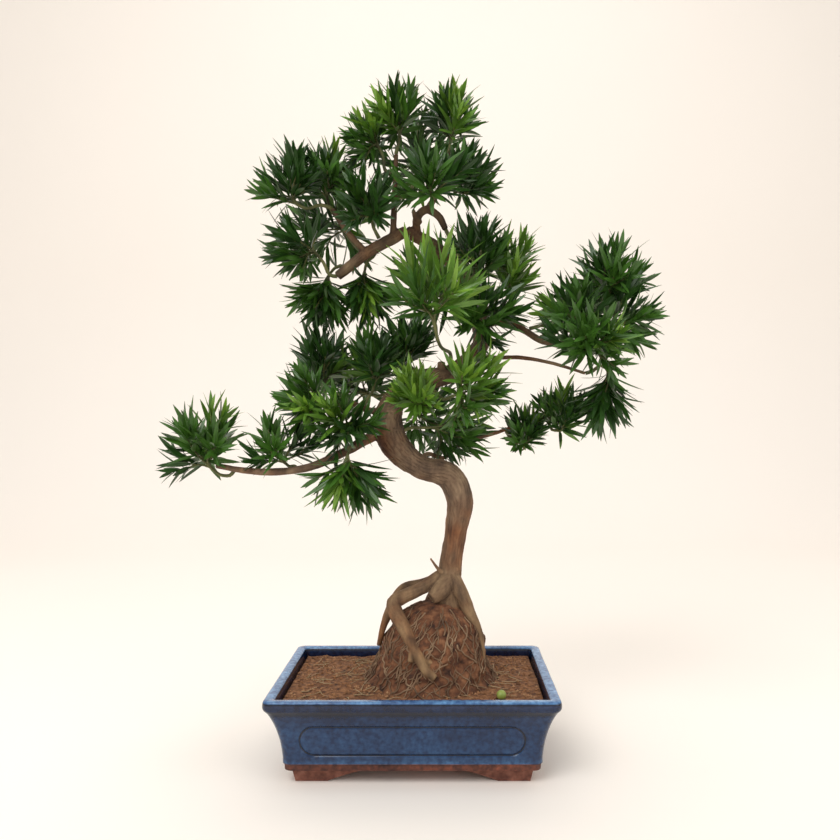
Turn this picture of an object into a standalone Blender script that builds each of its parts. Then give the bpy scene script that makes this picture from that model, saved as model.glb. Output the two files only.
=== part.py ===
"""Buddhist pine bonsai on its root ball, in a blue glazed rectangular pot on four corner feet.

Frame: +X to the right of the front view, +Y to the back and +Z up. The origin is the middle of
the whole plant's footprint, on the surface that the pot stands on. Sizes and places are written
in millimetres, and MM turns them into Blender's metres.
"""
import math
import random

import bmesh
import bpy
import numpy as np
from mathutils import Vector
from mathutils.bvhtree import BVHTree

MM = 0.001
UP = Vector((0, 0, 1))
GOLDEN_ANGLE = math.pi * (3 - math.sqrt(5))

# Driving dimensions
POT_WIDTH = 250
POT_DEPTH = 180
POT_HEIGHT = 75
FOOT_HEIGHT = 12
BASE_TOP = 18
SOIL_TOP = 67.5
SEAT_GAP = 0.3

# Pot walls: how far in from the lip's outline, and how high, from the base up and then down inside
POT_CORNER_RADIUS = 7
POT_OUTSIDE = (
    (16.0, FOOT_HEIGHT + SEAT_GAP), (15.5, BASE_TOP), (14.5, BASE_TOP), (14.3, 24), (12.3, 38),
    (8.0, 53), (3.5, 63), (0.4, 67.5), (0.0, 71), (0.8, POT_HEIGHT - 0.6), (2.0, POT_HEIGHT),
)
POT_INSIDE = ((7.6, POT_HEIGHT), (9.0, 74), (10.5, 60), (16.0, 38), (21.0, 23), (24.0, 21))
DRAIN_RADIUS = 9
DRAIN_OFFSET = 52
DRAIN_SIDES = 12

# Corner feet: the leg's length and its inset from the lip, from the pot's underside to the ground
FOOT_THICKNESS = 15
FOOT_LEVELS = ((FOOT_HEIGHT, 66, 22.0), (6.5, 46, 23.2), (2.0, 32, 24.2), (0, 27, 24.6))
FOOT_SIDE_SHARE = 0.8

# Root ball: radius at each height above the soil; it leans and is a little shallower than wide
ROOT_BALL_PROFILE = ((64, 0), (56, 9), (50, 25), (45, 42), (38, 55), (28, 66), (13, 73))
ROOT_BALL_FOOT = Vector((14, -5))
ROOT_BALL_LEAN = 0.07
ROOT_BALL_DEPTH_SHARE = 0.93
ROOT_BALL_SIDES = 18
ROOT_BALL_LUMP = 1.3

# The trunk's axis from its flat foot to its fork: x, y, z and radius
TRUNK = (
    (29, 0, 134, 16), (30, 0, 152, 12.4), (33, 0, 176, 10.8), (38, -1, 208, 10.8),
    (41, -4, 236, 12.6), (31, -6, 257, 12.6), (4, -10, 266, 11.2), (-16, -12, 283, 13.2),
    (-25, -12, 305, 14.0), (-17, -8, 330, 10.6), (8, 3, 344, 9.9), (40, 21, 357, 9.2),
    (61, 35, 380, 9.0), (62, 38, 404, 8.7), (44, 33, 450, 7.0), (19, 20, 473, 6.5),
    (-9, 4, 486, 5.9),
)
TRUNK_SIDES = 10
TRUNK_STEP = 12

# Roots that flare from the trunk's foot over the root ball, fused with the trunk
ROOTS = (
    ((26, -2, 166, 6.0), (7, -8, 154, 6.2), (-10, -14, 147, 6.6), (-19, -19, 142, 6.8),
     (-15, -26, 131, 6.6), (-8, -33, 121, 6.2), (-2, -40, 111, 5.6), (5, -46, 100, 5.0),
     (11, -52, 90, 4.2), (19, -55, 84, 3.4)),
    ((-4, -39, 112, 3.6), (-2, -44, 104, 3.2), (-3, -47, 96, 2.4)),
    ((4, -44, 104, 3.0), (12, -46, 98, 3.0), (19, -49, 91, 2.2)),
    ((-19, -16, 143, 5.0), (-25, -12, 130, 4.4), (-30, -8, 116, 3.2), (-34, -6, 100, 2.0)),
    ((24, 6, 162, 4.4), (5, 12, 155, 3.8), (-12, 16, 150, 3.5), (-22, 18, 138, 3.0),
     (-28, 20, 116, 2.2)),
    ((34, -4, 164, 7.0), (43, -9, 148, 6.6), (50, -13, 132, 5.6), (57, -17, 120, 3.6),
     (61, -18, 104, 2.6), (62, -18, 86, 2.0)),
    ((30, -4, 162, 8.0), (24, -12, 153, 8.4), (15, -17, 146, 6.0)),
    ((34, 4, 162, 6.5), (40, 20, 142, 5.6), (43, 33, 118, 4.6), (42, 43, 92, 3.4)),
    ((26, 6, 160, 6.0), (14, 24, 138, 5.0), (6, 37, 112, 4.0), (2, 46, 88, 2.8)),
)
ROOT_SIDES = 6
ROOT_STEP = 11

# Boughs: the limb that carries it, then x, y, z and radius from inside that limb to its own tip
BOUGHS = {
    "bough_top_left": ("trunk", ((-9, 4, 486, 5.8), (-29, -4, 473, 5.8), (-45, -8, 463, 5.6),
                                 (-60, -8, 451, 5.1), (-72, -6, 442, 4.4))),
    "bough_top_left_side": ("bough_top_left", ((-45, -8, 463, 3.3), (-56, -15, 474, 2.9),
                                               (-67, -13, 488, 2.6), (-76, -11, 503, 2.2))),
    "bough_apex_left": ("bough_top_left", ((-21, -1, 478, 3.5), (-20, -2, 500, 3.1),
                                           (-19, -2, 530, 2.6), (-18, -2, 556, 2.1))),
    "bough_arch": ("trunk", ((2, 11, 481, 4.2), (1, 1, 496, 4.0), (10, -8, 503, 3.8),
                             (21, -10, 497, 3.5), (28, -12, 484, 3.0))),
    "bough_apex_right": ("bough_arch", ((11, -8, 502, 3.1), (18, -3, 516, 2.8),
                                        (27, 3, 538, 2.5), (31, 6, 560, 2.2))),
    "bough_right_upper": ("trunk", ((62, 38, 402, 4.6), (83, 27, 404, 4.3), (100, 16, 396, 3.8),
                                    (117, 6, 384, 3.3), (135, 0, 378, 2.8))),
    "bough_right_mid": ("trunk", ((57, 33, 376, 2.6), (70, 18, 369, 2.2), (98, 0, 367, 2.0),
                                  (124, -7, 362, 1.8), (157, -8, 352, 1.6))),
    "bough_right_low": ("trunk", ((3, -9, 267, 2.6), (11, 8, 277, 2.2), (26, 13, 273, 2.0),
                                  (42, 20, 285, 1.9), (78, 24, 297, 1.8), (119, 22, 312, 1.6))),
    "bough_left_low": ("trunk", ((-23, -12, 298, 5.0), (-40, -16, 293, 4.8), (-63, -24, 280, 4.3),
                                 (-92, -28, 267, 3.9), (-124, -26, 262, 3.4), (-156, -20, 263, 2.9),
                                 (-182, -14, 267, 2.4))),
    "bough_left_mid": ("trunk", ((-23, -11, 318, 3.6), (-40, -13, 317, 3.2), (-55, -16, 323, 2.8),
                                 (-71, -16, 328, 2.4))),
    "bough_back_top": ("trunk", ((44, 33, 450, 4.2), (38, 46, 455, 3.7), (31, 60, 453, 3.1))),
    "bough_back_low": ("trunk", ((-11, -5, 335, 4.2), (-15, 16, 338, 3.8), (-18, 36, 336, 3.2),
                                 (-19, 52, 337, 2.6))),
}
BOUGH_SIDES = 6
BOUGH_STEP = 11

# Foliage masses: carrying limb, place along it (1 is its tip), centre, reach along x, y and z,
# lean of the shoots, number of shoots and length of leaf
MASSES = {
    "crest_left": ("bough_apex_left", 1, (-17, -2, 601), (29, 34, 39), (-0.1, 0, 1), 3, 34),
    "crest_right": ("bough_apex_right", 1, (35, 6, 600), (29, 34, 43), (0.12, 0, 1), 3, 34),
    "crest_front": ("bough_apex_right", 0.45, (16, -38, 534), (38, 31, 36), (0, -0.45, 0.9), 3, 38),
    "crest_east": ("bough_apex_right", 0.7, (53, 6, 542), (28, 31, 34), (0.7, 0, 0.7), 3, 34),
    "crest_west": ("bough_apex_left", 0.75, (-48, 0, 579), (25, 27, 27), (-0.7, 0, 0.7), 3, 32),
    "crest_back": ("bough_apex_left", 0.5, (6, 58, 575), (47, 40, 47), (0.1, 0.8, 0.6), 3, 38),
    "upper_left_tip": ("bough_top_left_side", 1, (-115, -22, 532), (27, 34, 39),
                       (-0.35, 0, 0.9), 3, 38),
    "upper_left_rise": ("bough_top_left_side", 0.8, (-83, 6, 545), (26, 34, 38),
                        (0, 0.1, 1), 3, 36),
    "upper_left_heart": ("bough_top_left", 0.35, (-42, -18, 517), (32, 34, 35),
                         (-0.1, -0.2, 1), 3, 36),
    "upper_left_low": ("bough_top_left", 1, (-113, -14, 474), (32, 34, 32), (-0.85, 0, 0.45), 3, 38),
    "upper_left_drop": ("bough_top_left", 0.88, (-91, 2, 421), (34, 34, 38), (-0.4, 0, -0.8), 3, 38),
    "upper_mid_drop": ("bough_top_left", 0.45, (-42, 14, 427), (34, 34, 34), (0.2, 0.1, -0.8), 3, 36),
    "upper_left_back": ("bough_top_left", 0.6, (-84, 58, 510), (49, 38, 52), (-0.3, 0.8, 0.4), 3, 38),
    "plume": ("trunk", 0.6, (17, -80, 434), (43, 40, 53), (0, -0.1, 1), 3, 46),
    "centre_top": ("bough_arch", 1, (60, -6, 475), (29, 34, 44), (0.15, 0, 1), 3, 40),
    "spray": ("trunk", 0.76, (95, 24, 461), (27, 31, 56), (0.45, 0, 0.85), 3, 34),
    "centre_heart": ("trunk", 0.74, (68, -22, 416), (38, 38, 35), (0.4, -0.5, 0.5), 3, 38),
    "centre_back": ("bough_back_top", 1, (25, 84, 462), (49, 40, 56), (-0.1, 0.7, 0.6), 3, 40),
    "left_crest": ("bough_left_mid", 0.85, (-88, 4, 371), (30, 34, 38), (-0.15, 0, 1), 3, 36),
    "left_crest_inner": ("bough_left_mid", 0.5, (-38, -4, 372), (27, 34, 39), (0, 0, 1), 3, 36),
    "left_shelf_tip": ("bough_left_mid", 1, (-103, -26, 334), (28, 31, 28), (-0.85, -0.1, 0.5), 3, 34),
    "left_shelf": ("bough_left_mid", 0.6, (-60, -46, 317), (34, 29, 31), (0, -0.7, 0.4), 3, 34),
    "left_back": ("bough_back_low", 0.85, (-72, 68, 354), (49, 40, 47), (-0.6, 0.5, 0.5), 3, 38),
    "centre_low": ("trunk", 0.6, (-8, 26, 388), (26, 31, 37), (-0.1, 0.1, 1), 3, 36),
    "left_end": ("bough_left_low", 0.9, (-198, -10, 297), (38, 45, 47), (-0.4, 0, 1), 5, 36),
    "left_run": ("bough_left_low", 0.55, (-120, -18, 294), (38, 36, 34), (-0.1, 0, 1), 3, 30),
    "left_hanging": ("bough_left_low", 0.22, (-56, -48, 251), (41, 31, 39), (0.05, -0.1, -1), 3, 38),
    "right_top": ("bough_right_upper", 0.85, (185, 14, 458), (36, 36, 38), (0.1, 0.1, 1), 3, 38),
    "right_inner": ("bough_right_upper", 0.6, (141, -10, 421), (34, 34, 38), (-0.4, 0, 0.9), 3, 36),
    "right_outer": ("bough_right_upper", 1, (205, 4, 416), (31, 36, 43), (0.85, 0, 0.45), 3, 40),
    "right_front": ("bough_right_upper", 0.92, (157, -48, 388), (44, 34, 34), (0, -0.8, 0.4), 3, 38),
    "right_back": ("bough_right_upper", 0.75, (172, 62, 426), (45, 38, 45), (0.2, 0.8, 0.5), 3, 38),
    "right_fall": ("bough_right_mid", 1, (176, -10, 323), (37, 36, 47), (0.1, 0, -1), 3, 38),
    "right_low_end": ("bough_right_low", 1, (143, 20, 322), (28, 31, 35), (0.3, 0, 0.6), 3, 32),
    "right_low_tuft": ("bough_right_low", 0.75, (102, 14, 305), (21, 27, 28), (0, 0, 0.5), 3, 28),
    "front_right": ("trunk", 0.54, (56, -64, 346), (35, 34, 35), (0.6, -0.4, 0.5), 3, 38),
    "low_right": ("trunk", 0.4, (44, 22, 306), (40, 40, 35), (0.6, 0.2, 0.1), 3, 38),
    "front_tuft": ("trunk", 0.49, (0, -56, 340), (20, 29, 29), (-0.2, -0.4, 0.8), 3, 32),
    "low_back": ("bough_back_low", 1, (4, 84, 322), (47, 38, 45), (0.2, 0.9, 0.1), 3, 38),
}
# A stem runs to the heart, this share of the reach behind the centre, and shoots fan out from it
HEART_DEPTH = 0.75
FAN_SPREAD = math.radians(88)
LEAN_OF_TIPS = 0.6
CURVE_PULL = 0.4
STEM_RADII = (1.9, 1.3)
STEM_SPANS = 3
SHOOT_RADII = (1.2, 0.8)
SHOOT_SPANS = 2
SHOOT_STARTS = (0.8, 0.99)
SHOOT_REACH = 0.98
TIP_LEAF_SHARE = 0.75
TIP_LEAF_LIMIT = 0.55
TWIG_SIDES = 3
# How much of a leaf's turn away from the middle of its twig's face is kept
FACE_TURN_KEPT = 0.3
LEAF_ENLARGEMENT = 1.15
LEAF_WIDTH_SHARE = 0.25
LEAF_THICKNESS = 1.3
LEAF_WIDEST = 0.45
LEAVES_PER_SHOOT = 5
LEAF_PLACES = (0, 5, 2, 8, 4, 6, 1, 7, 3)
LEAFY_SHARE = 0.8
LEAF_SINK = 0.9
BARE_ROOT = 0.1
LEAF_OPENING = (math.radians(20), math.radians(72))
LEAF_OPENING_GROWTH = 0.8
LEAF_LENGTHS = (1.0, 0.85, 0.7)
LEAF_TEST_STEPS = 8
SPACE_MARGIN = 0.045
LIMB_CLEARANCE = 1.6
BEAD_STEP = 2.5


def clear_scene():
    for thing in list(bpy.data.objects):
        bpy.data.objects.remove(thing, do_unlink=True)


def make_material(name, colour, roughness):
    material = bpy.data.materials.new(name)
    material.use_nodes = True
    shader = material.node_tree.nodes["Principled BSDF"]
    shader.inputs["Base Color"].default_value = (*colour, 1)
    shader.inputs["Roughness"].default_value = roughness
    material.diffuse_color = (*colour, 1)
    return material


def make_object(name, vertices, faces, material=None):
    """A mesh object from points in millimetres, with its faces turned outward."""
    mesh = bpy.data.meshes.new(name)
    mesh.from_pydata([Vector(point) * MM for point in vertices], [], faces)
    shape = bmesh.new()
    shape.from_mesh(mesh)
    bmesh.ops.recalc_face_normals(shape, faces=shape.faces)
    shape.to_mesh(mesh)
    shape.free()
    if material:
        mesh.materials.append(material)
    thing = bpy.data.objects.new(name, mesh)
    bpy.context.scene.collection.objects.link(thing)
    return thing


def loft_mesh(rings):
    """Vertices and faces of a closed solid through rings of equal length, capped at both ends."""
    count = len(rings[0])
    vertices = [point for ring in rings for point in ring]
    faces = [tuple(range(count)), tuple(range(len(vertices) - count, len(vertices)))]
    for level in range(len(rings) - 1):
        for side in range(count):
            low = level * count + side
            beside = level * count + (side + 1) % count
            faces.append((low, beside, beside + count, low + count))
    return vertices, faces


def loft(name, rings, material=None):
    return make_object(name, *loft_mesh(rings), material)


# Boolean work

def keep_main_body(mesh):
    """Drops loose scraps and sealed hollows, so that one closed body is left."""
    shape = bmesh.new()
    shape.from_mesh(mesh)
    unseen = set(shape.verts)
    bodies = []
    while unseen:
        body = {unseen.pop()}
        edge_of_search = list(body)
        while edge_of_search:
            vertex = edge_of_search.pop()
            for edge in vertex.link_edges:
                other = edge.other_vert(vertex)
                if other in unseen:
                    unseen.discard(other)
                    body.add(other)
                    edge_of_search.append(other)
        bodies.append(body)
    main = max(bodies, key=len)
    scraps = [vertex for vertex in shape.verts if vertex not in main]
    bmesh.ops.delete(shape, geom=scraps, context="VERTS")
    shape.to_mesh(mesh)
    shape.free()


def apply_boolean(thing, tools, operation, solver="EXACT"):
    """Joins or cuts a solid with a collection of tools, applies it and removes the tools."""
    group = bpy.data.collections.new("tools")
    bpy.context.scene.collection.children.link(group)
    for tool in tools:
        bpy.context.scene.collection.objects.unlink(tool)
        group.objects.link(tool)
    modifier = thing.modifiers.new("boolean", "BOOLEAN")
    modifier.operation = operation
    modifier.operand_type = "COLLECTION"
    modifier.collection = group
    modifier.solver = solver
    evaluated = thing.evaluated_get(bpy.context.evaluated_depsgraph_get())
    result = bpy.data.meshes.new_from_object(evaluated)
    thing.modifiers.remove(modifier)
    thing.data = result
    for tool in tools:
        bpy.data.objects.remove(tool, do_unlink=True)
    bpy.data.collections.remove(group)
    keep_main_body(thing.data)


# Pot, feet, soil and root ball

def rounded_rectangle(width, depth, radius, z, corner_points=3):
    """Points of a rectangle with round corners, anticlockwise from above."""
    points = []
    for turn in range(4):
        sign_x = (1, -1, -1, 1)[turn]
        sign_y = (1, 1, -1, -1)[turn]
        centre_x = sign_x * (width / 2 - radius)
        centre_y = sign_y * (depth / 2 - radius)
        for step in range(corner_points):
            angle = math.pi / 2 * (turn + step / (corner_points - 1))
            points.append((centre_x + radius * math.cos(angle),
                           centre_y + radius * math.sin(angle), z))
    return points


def pot_ring(inset, z, radius=POT_CORNER_RADIUS):
    return rounded_rectangle(POT_WIDTH - 2 * inset, POT_DEPTH - 2 * inset, radius, z)


def make_pot(glaze):
    rings = [pot_ring(inset, z) for inset, z in POT_OUTSIDE]
    rings += [pot_ring(inset, z, POT_CORNER_RADIUS - 3) for inset, z in POT_INSIDE]
    pot = loft("pot", rings, glaze)
    drains = []
    for side in (-1, 1):
        rings = []
        for z in (0, POT_INSIDE[-1][1] + 5):
            angles = [2 * math.pi * step / DRAIN_SIDES for step in range(DRAIN_SIDES)]
            rings.append([(side * DRAIN_OFFSET + DRAIN_RADIUS * math.cos(angle),
                           DRAIN_RADIUS * math.sin(angle), z) for angle in angles])
        drains.append(loft("drain", rings))
    apply_boolean(pot, drains, "DIFFERENCE")
    pot.data.shade_smooth()
    pot.data.set_sharp_from_angle(angle=math.radians(35))


def make_feet(terracotta):
    """L-shaped feet under the four corners, whose legs taper up to the pot's underside."""
    for name, sign_x, sign_y in (("front_left", -1, -1), ("front_right", 1, -1),
                                 ("back_left", -1, 1), ("back_right", 1, 1)):
        rings = []
        for z, length, inset in FOOT_LEVELS:
            side_length = length * FOOT_SIDE_SHARE
            outline = ((0, 0), (length, 0), (length, FOOT_THICKNESS),
                       (FOOT_THICKNESS, FOOT_THICKNESS), (FOOT_THICKNESS, side_length),
                       (0, side_length))
            rings.append([(sign_x * (POT_WIDTH / 2 - inset - along),
                           sign_y * (POT_DEPTH / 2 - inset - across), z)
                          for along, across in outline])
        loft("pot_foot_" + name, rings, terracotta)


def make_soil(earth):
    """The soil fills the pot, a seat gap inside its walls, up to a level surface."""
    rings = []
    for inset, z in reversed(POT_INSIDE):
        if z < SOIL_TOP:
            rings.append(pot_ring(inset + SEAT_GAP, z + SEAT_GAP, POT_CORNER_RADIUS - 3))
    below, above = POT_INSIDE[2], POT_INSIDE[1]
    rise = (SOIL_TOP - below[1]) / (above[1] - below[1])
    top_inset = below[0] + rise * (above[0] - below[0]) + SEAT_GAP
    rings.append(pot_ring(top_inset, SOIL_TOP, POT_CORNER_RADIUS - 3))
    loft("soil", rings, earth)


def make_root_ball(earth, cutters):
    """A leaning mound of bound roots, cut clear of the trunk's foot and of the roots on it."""
    rings = []
    for level, (radius, height) in enumerate(ROOT_BALL_PROFILE):
        ring = []
        for side in range(ROOT_BALL_SIDES):
            angle = 2 * math.pi * side / ROOT_BALL_SIDES
            lump = ROOT_BALL_LUMP * math.sin(3 * angle + level) * math.sin(2 * angle - level)
            ring.append((ROOT_BALL_FOOT.x + ROOT_BALL_LEAN * height + (radius + lump) * math.cos(angle),
                         ROOT_BALL_FOOT.y + (radius + lump) * ROOT_BALL_DEPTH_SHARE * math.sin(angle),
                         SOIL_TOP + SEAT_GAP + height))
        rings.append(ring)
    ball = loft("root_ball", rings, earth)
    apply_boolean(ball, cutters, "DIFFERENCE")


# Limbs

def smooth_path(controls, step):
    """Points and radii along a centripetal Catmull-Rom curve, about one step apart."""
    knots = [np.array(control, dtype=float) for control in controls]
    knots = [2 * knots[0] - knots[1]] + knots + [2 * knots[-1] - knots[-2]]
    path = []
    for a, b, c, d in zip(knots, knots[1:], knots[2:], knots[3:]):
        times = [0.0]
        for start, end in ((a, b), (b, c), (c, d)):
            times.append(times[-1] + math.sqrt(np.linalg.norm((end - start)[:3])))
        count = max(1, round(np.linalg.norm((c - b)[:3]) / step))
        for share in range(count):
            time = times[1] + (times[2] - times[1]) * share / count
            ab = a + (b - a) * (time - times[0]) / (times[1] - times[0])
            bc = b + (c - b) * (time - times[1]) / (times[2] - times[1])
            cd = c + (d - c) * (time - times[2]) / (times[3] - times[2])
            abc = ab + (bc - ab) * (time - times[0]) / (times[2] - times[0])
            bcd = bc + (cd - bc) * (time - times[1]) / (times[3] - times[1])
            path.append(abc + (bcd - abc) * (time - times[1]) / (times[2] - times[1]))
    path.append(knots[-2])
    return [(Vector(point[:3]), float(point[3])) for point in path]


def path_directions(points):
    directions = []
    for index in range(len(points)):
        before = points[max(index - 1, 0)]
        after = points[min(index + 1, len(points) - 1)]
        directions.append((after - before).normalized())
    return directions


def any_side(direction):
    """A unit vector across the direction, the same one each time."""
    helper = Vector((1, 0, 0)) if abs(direction.x) < 0.8 else Vector((0, 1, 0))
    return direction.cross(helper).normalized()


def carried_frames(path, start=None):
    """Direction and side at each point of a path; the side is carried along without twist."""
    directions = path_directions([point for point, radius in path])
    if start:
        directions[0] = start
    side = any_side(directions[0])
    frames = []
    for direction in directions:
        side = (side - direction * side.dot(direction)).normalized()
        frames.append((direction, side))
    return frames


def around(direction, side, angle):
    """The side turned by an angle round the direction."""
    return side * math.cos(angle) + direction.cross(side) * math.sin(angle)


def tube_rings(path, sides, swell=0.0, start=None):
    """Rings of a tube along the path, all wider by the swell."""
    rings = []
    for (point, radius), (direction, side) in zip(path, carried_frames(path, start)):
        rings.append([point + (radius + swell) * around(direction, side, 2 * math.pi * step / sides)
                      for step in range(sides)])
    return rings


def tube_mesh(path, sides):
    return loft_mesh(tube_rings(path, sides))


def make_tube(name, path, sides, material=None, swell=0.0, start=None):
    """A tube along a path; start is the direction that its first end is square to."""
    return loft(name, tube_rings(path, sides, swell, start), material)


def trunk_tubes(name, material, swell):
    """The trunk and its flaring roots as separate tubes, the trunk first."""
    trunk = smooth_path(TRUNK, TRUNK_STEP)
    tubes = [make_tube(name, trunk, TRUNK_SIDES, material, swell, start=UP)]
    for controls in ROOTS:
        root = smooth_path(controls, ROOT_STEP)
        tubes.append(make_tube("root", root, ROOT_SIDES, material, swell))
    return tubes


def make_trunk(bark):
    trunk, *roots = trunk_tubes("trunk", bark, 0.0)
    apply_boolean(trunk, roots, "UNION")
    trunk.data.shade_smooth()


def make_boughs(bark, limbs):
    """Each bough starts on its carrier's axis and is cut a seat gap clear of the carrier."""
    for name, (carrier, controls) in BOUGHS.items():
        bough = make_tube(name, limbs[name], BOUGH_SIDES, bark)
        if carrier == "trunk":
            cutter = make_tube("cutter", limbs["trunk"], TRUNK_SIDES, None, SEAT_GAP, start=UP)
        else:
            cutter = make_tube("cutter", limbs[carrier], BOUGH_SIDES, None, SEAT_GAP)
        apply_boolean(bough, [cutter], "DIFFERENCE")
        bough.data.shade_smooth()


def limb_paths():
    limbs = {"trunk": smooth_path(TRUNK, TRUNK_STEP)}
    for name, (carrier, controls) in BOUGHS.items():
        limbs[name] = smooth_path(controls, BOUGH_STEP)
    return limbs


# Foliage

def bezier(a, b, c, d, count):
    """Points along a cubic curve, both ends included."""
    points = []
    for step in range(count + 1):
        t = step / count
        u = 1 - t
        points.append(a * u ** 3 + b * 3 * u * u * t + c * 3 * u * t * t + d * t ** 3)
    return points


def with_radii(points, radii):
    last = len(points) - 1
    return [(point, radii[0] + (radii[1] - radii[0]) * index / last)
            for index, point in enumerate(points)]


def point_on_path(path, place):
    """Position, direction and radius at a share of the path's length."""
    lengths = [0.0]
    for (start, _), (end, _) in zip(path, path[1:]):
        lengths.append(lengths[-1] + (end - start).length)
    wanted = place * lengths[-1]
    for index in range(len(path) - 1):
        if wanted <= lengths[index + 1] or index == len(path) - 2:
            share = (wanted - lengths[index]) / (lengths[index + 1] - lengths[index])
            (start, start_radius), (end, end_radius) = path[index], path[index + 1]
            position = start.lerp(end, share)
            radius = start_radius + (end_radius - start_radius) * share
            return position, (end - start).normalized(), radius


def fan_of_directions(lean, count, turn):
    """Directions spread evenly round the lean, each a golden angle on from the last."""
    side = any_side(lean)
    for index in range(count):
        polar = FAN_SPREAD * math.sqrt((index + 0.5) / count)
        across = around(lean, side, index * GOLDEN_ANGLE + turn)
        yield (lean * math.cos(polar) + across * math.sin(polar)).normalized()


def towards_face(angle):
    """An angle round a twig, drawn most of the way to the middle of the twig's nearest face."""
    face = 2 * math.pi / TWIG_SIDES
    middle = (math.floor(angle / face) + 0.5) * face
    return middle + (angle - middle) * FACE_TURN_KEPT


def stretched(direction, reach):
    return Vector((direction.x * reach.x, direction.y * reach.y, direction.z * reach.z))


def beads(path, spacing=BEAD_STEP):
    """Points with radii closely along a path, as rows of an array, for clearance tests."""
    rows = []
    for (start, start_radius), (end, end_radius) in zip(path, path[1:]):
        count = max(1, math.ceil((end - start).length / spacing))
        for step in range(count + 1):
            share = step / count
            rows.append((*start.lerp(end, share), start_radius + (end_radius - start_radius) * share))
    return np.array(rows)


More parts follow.
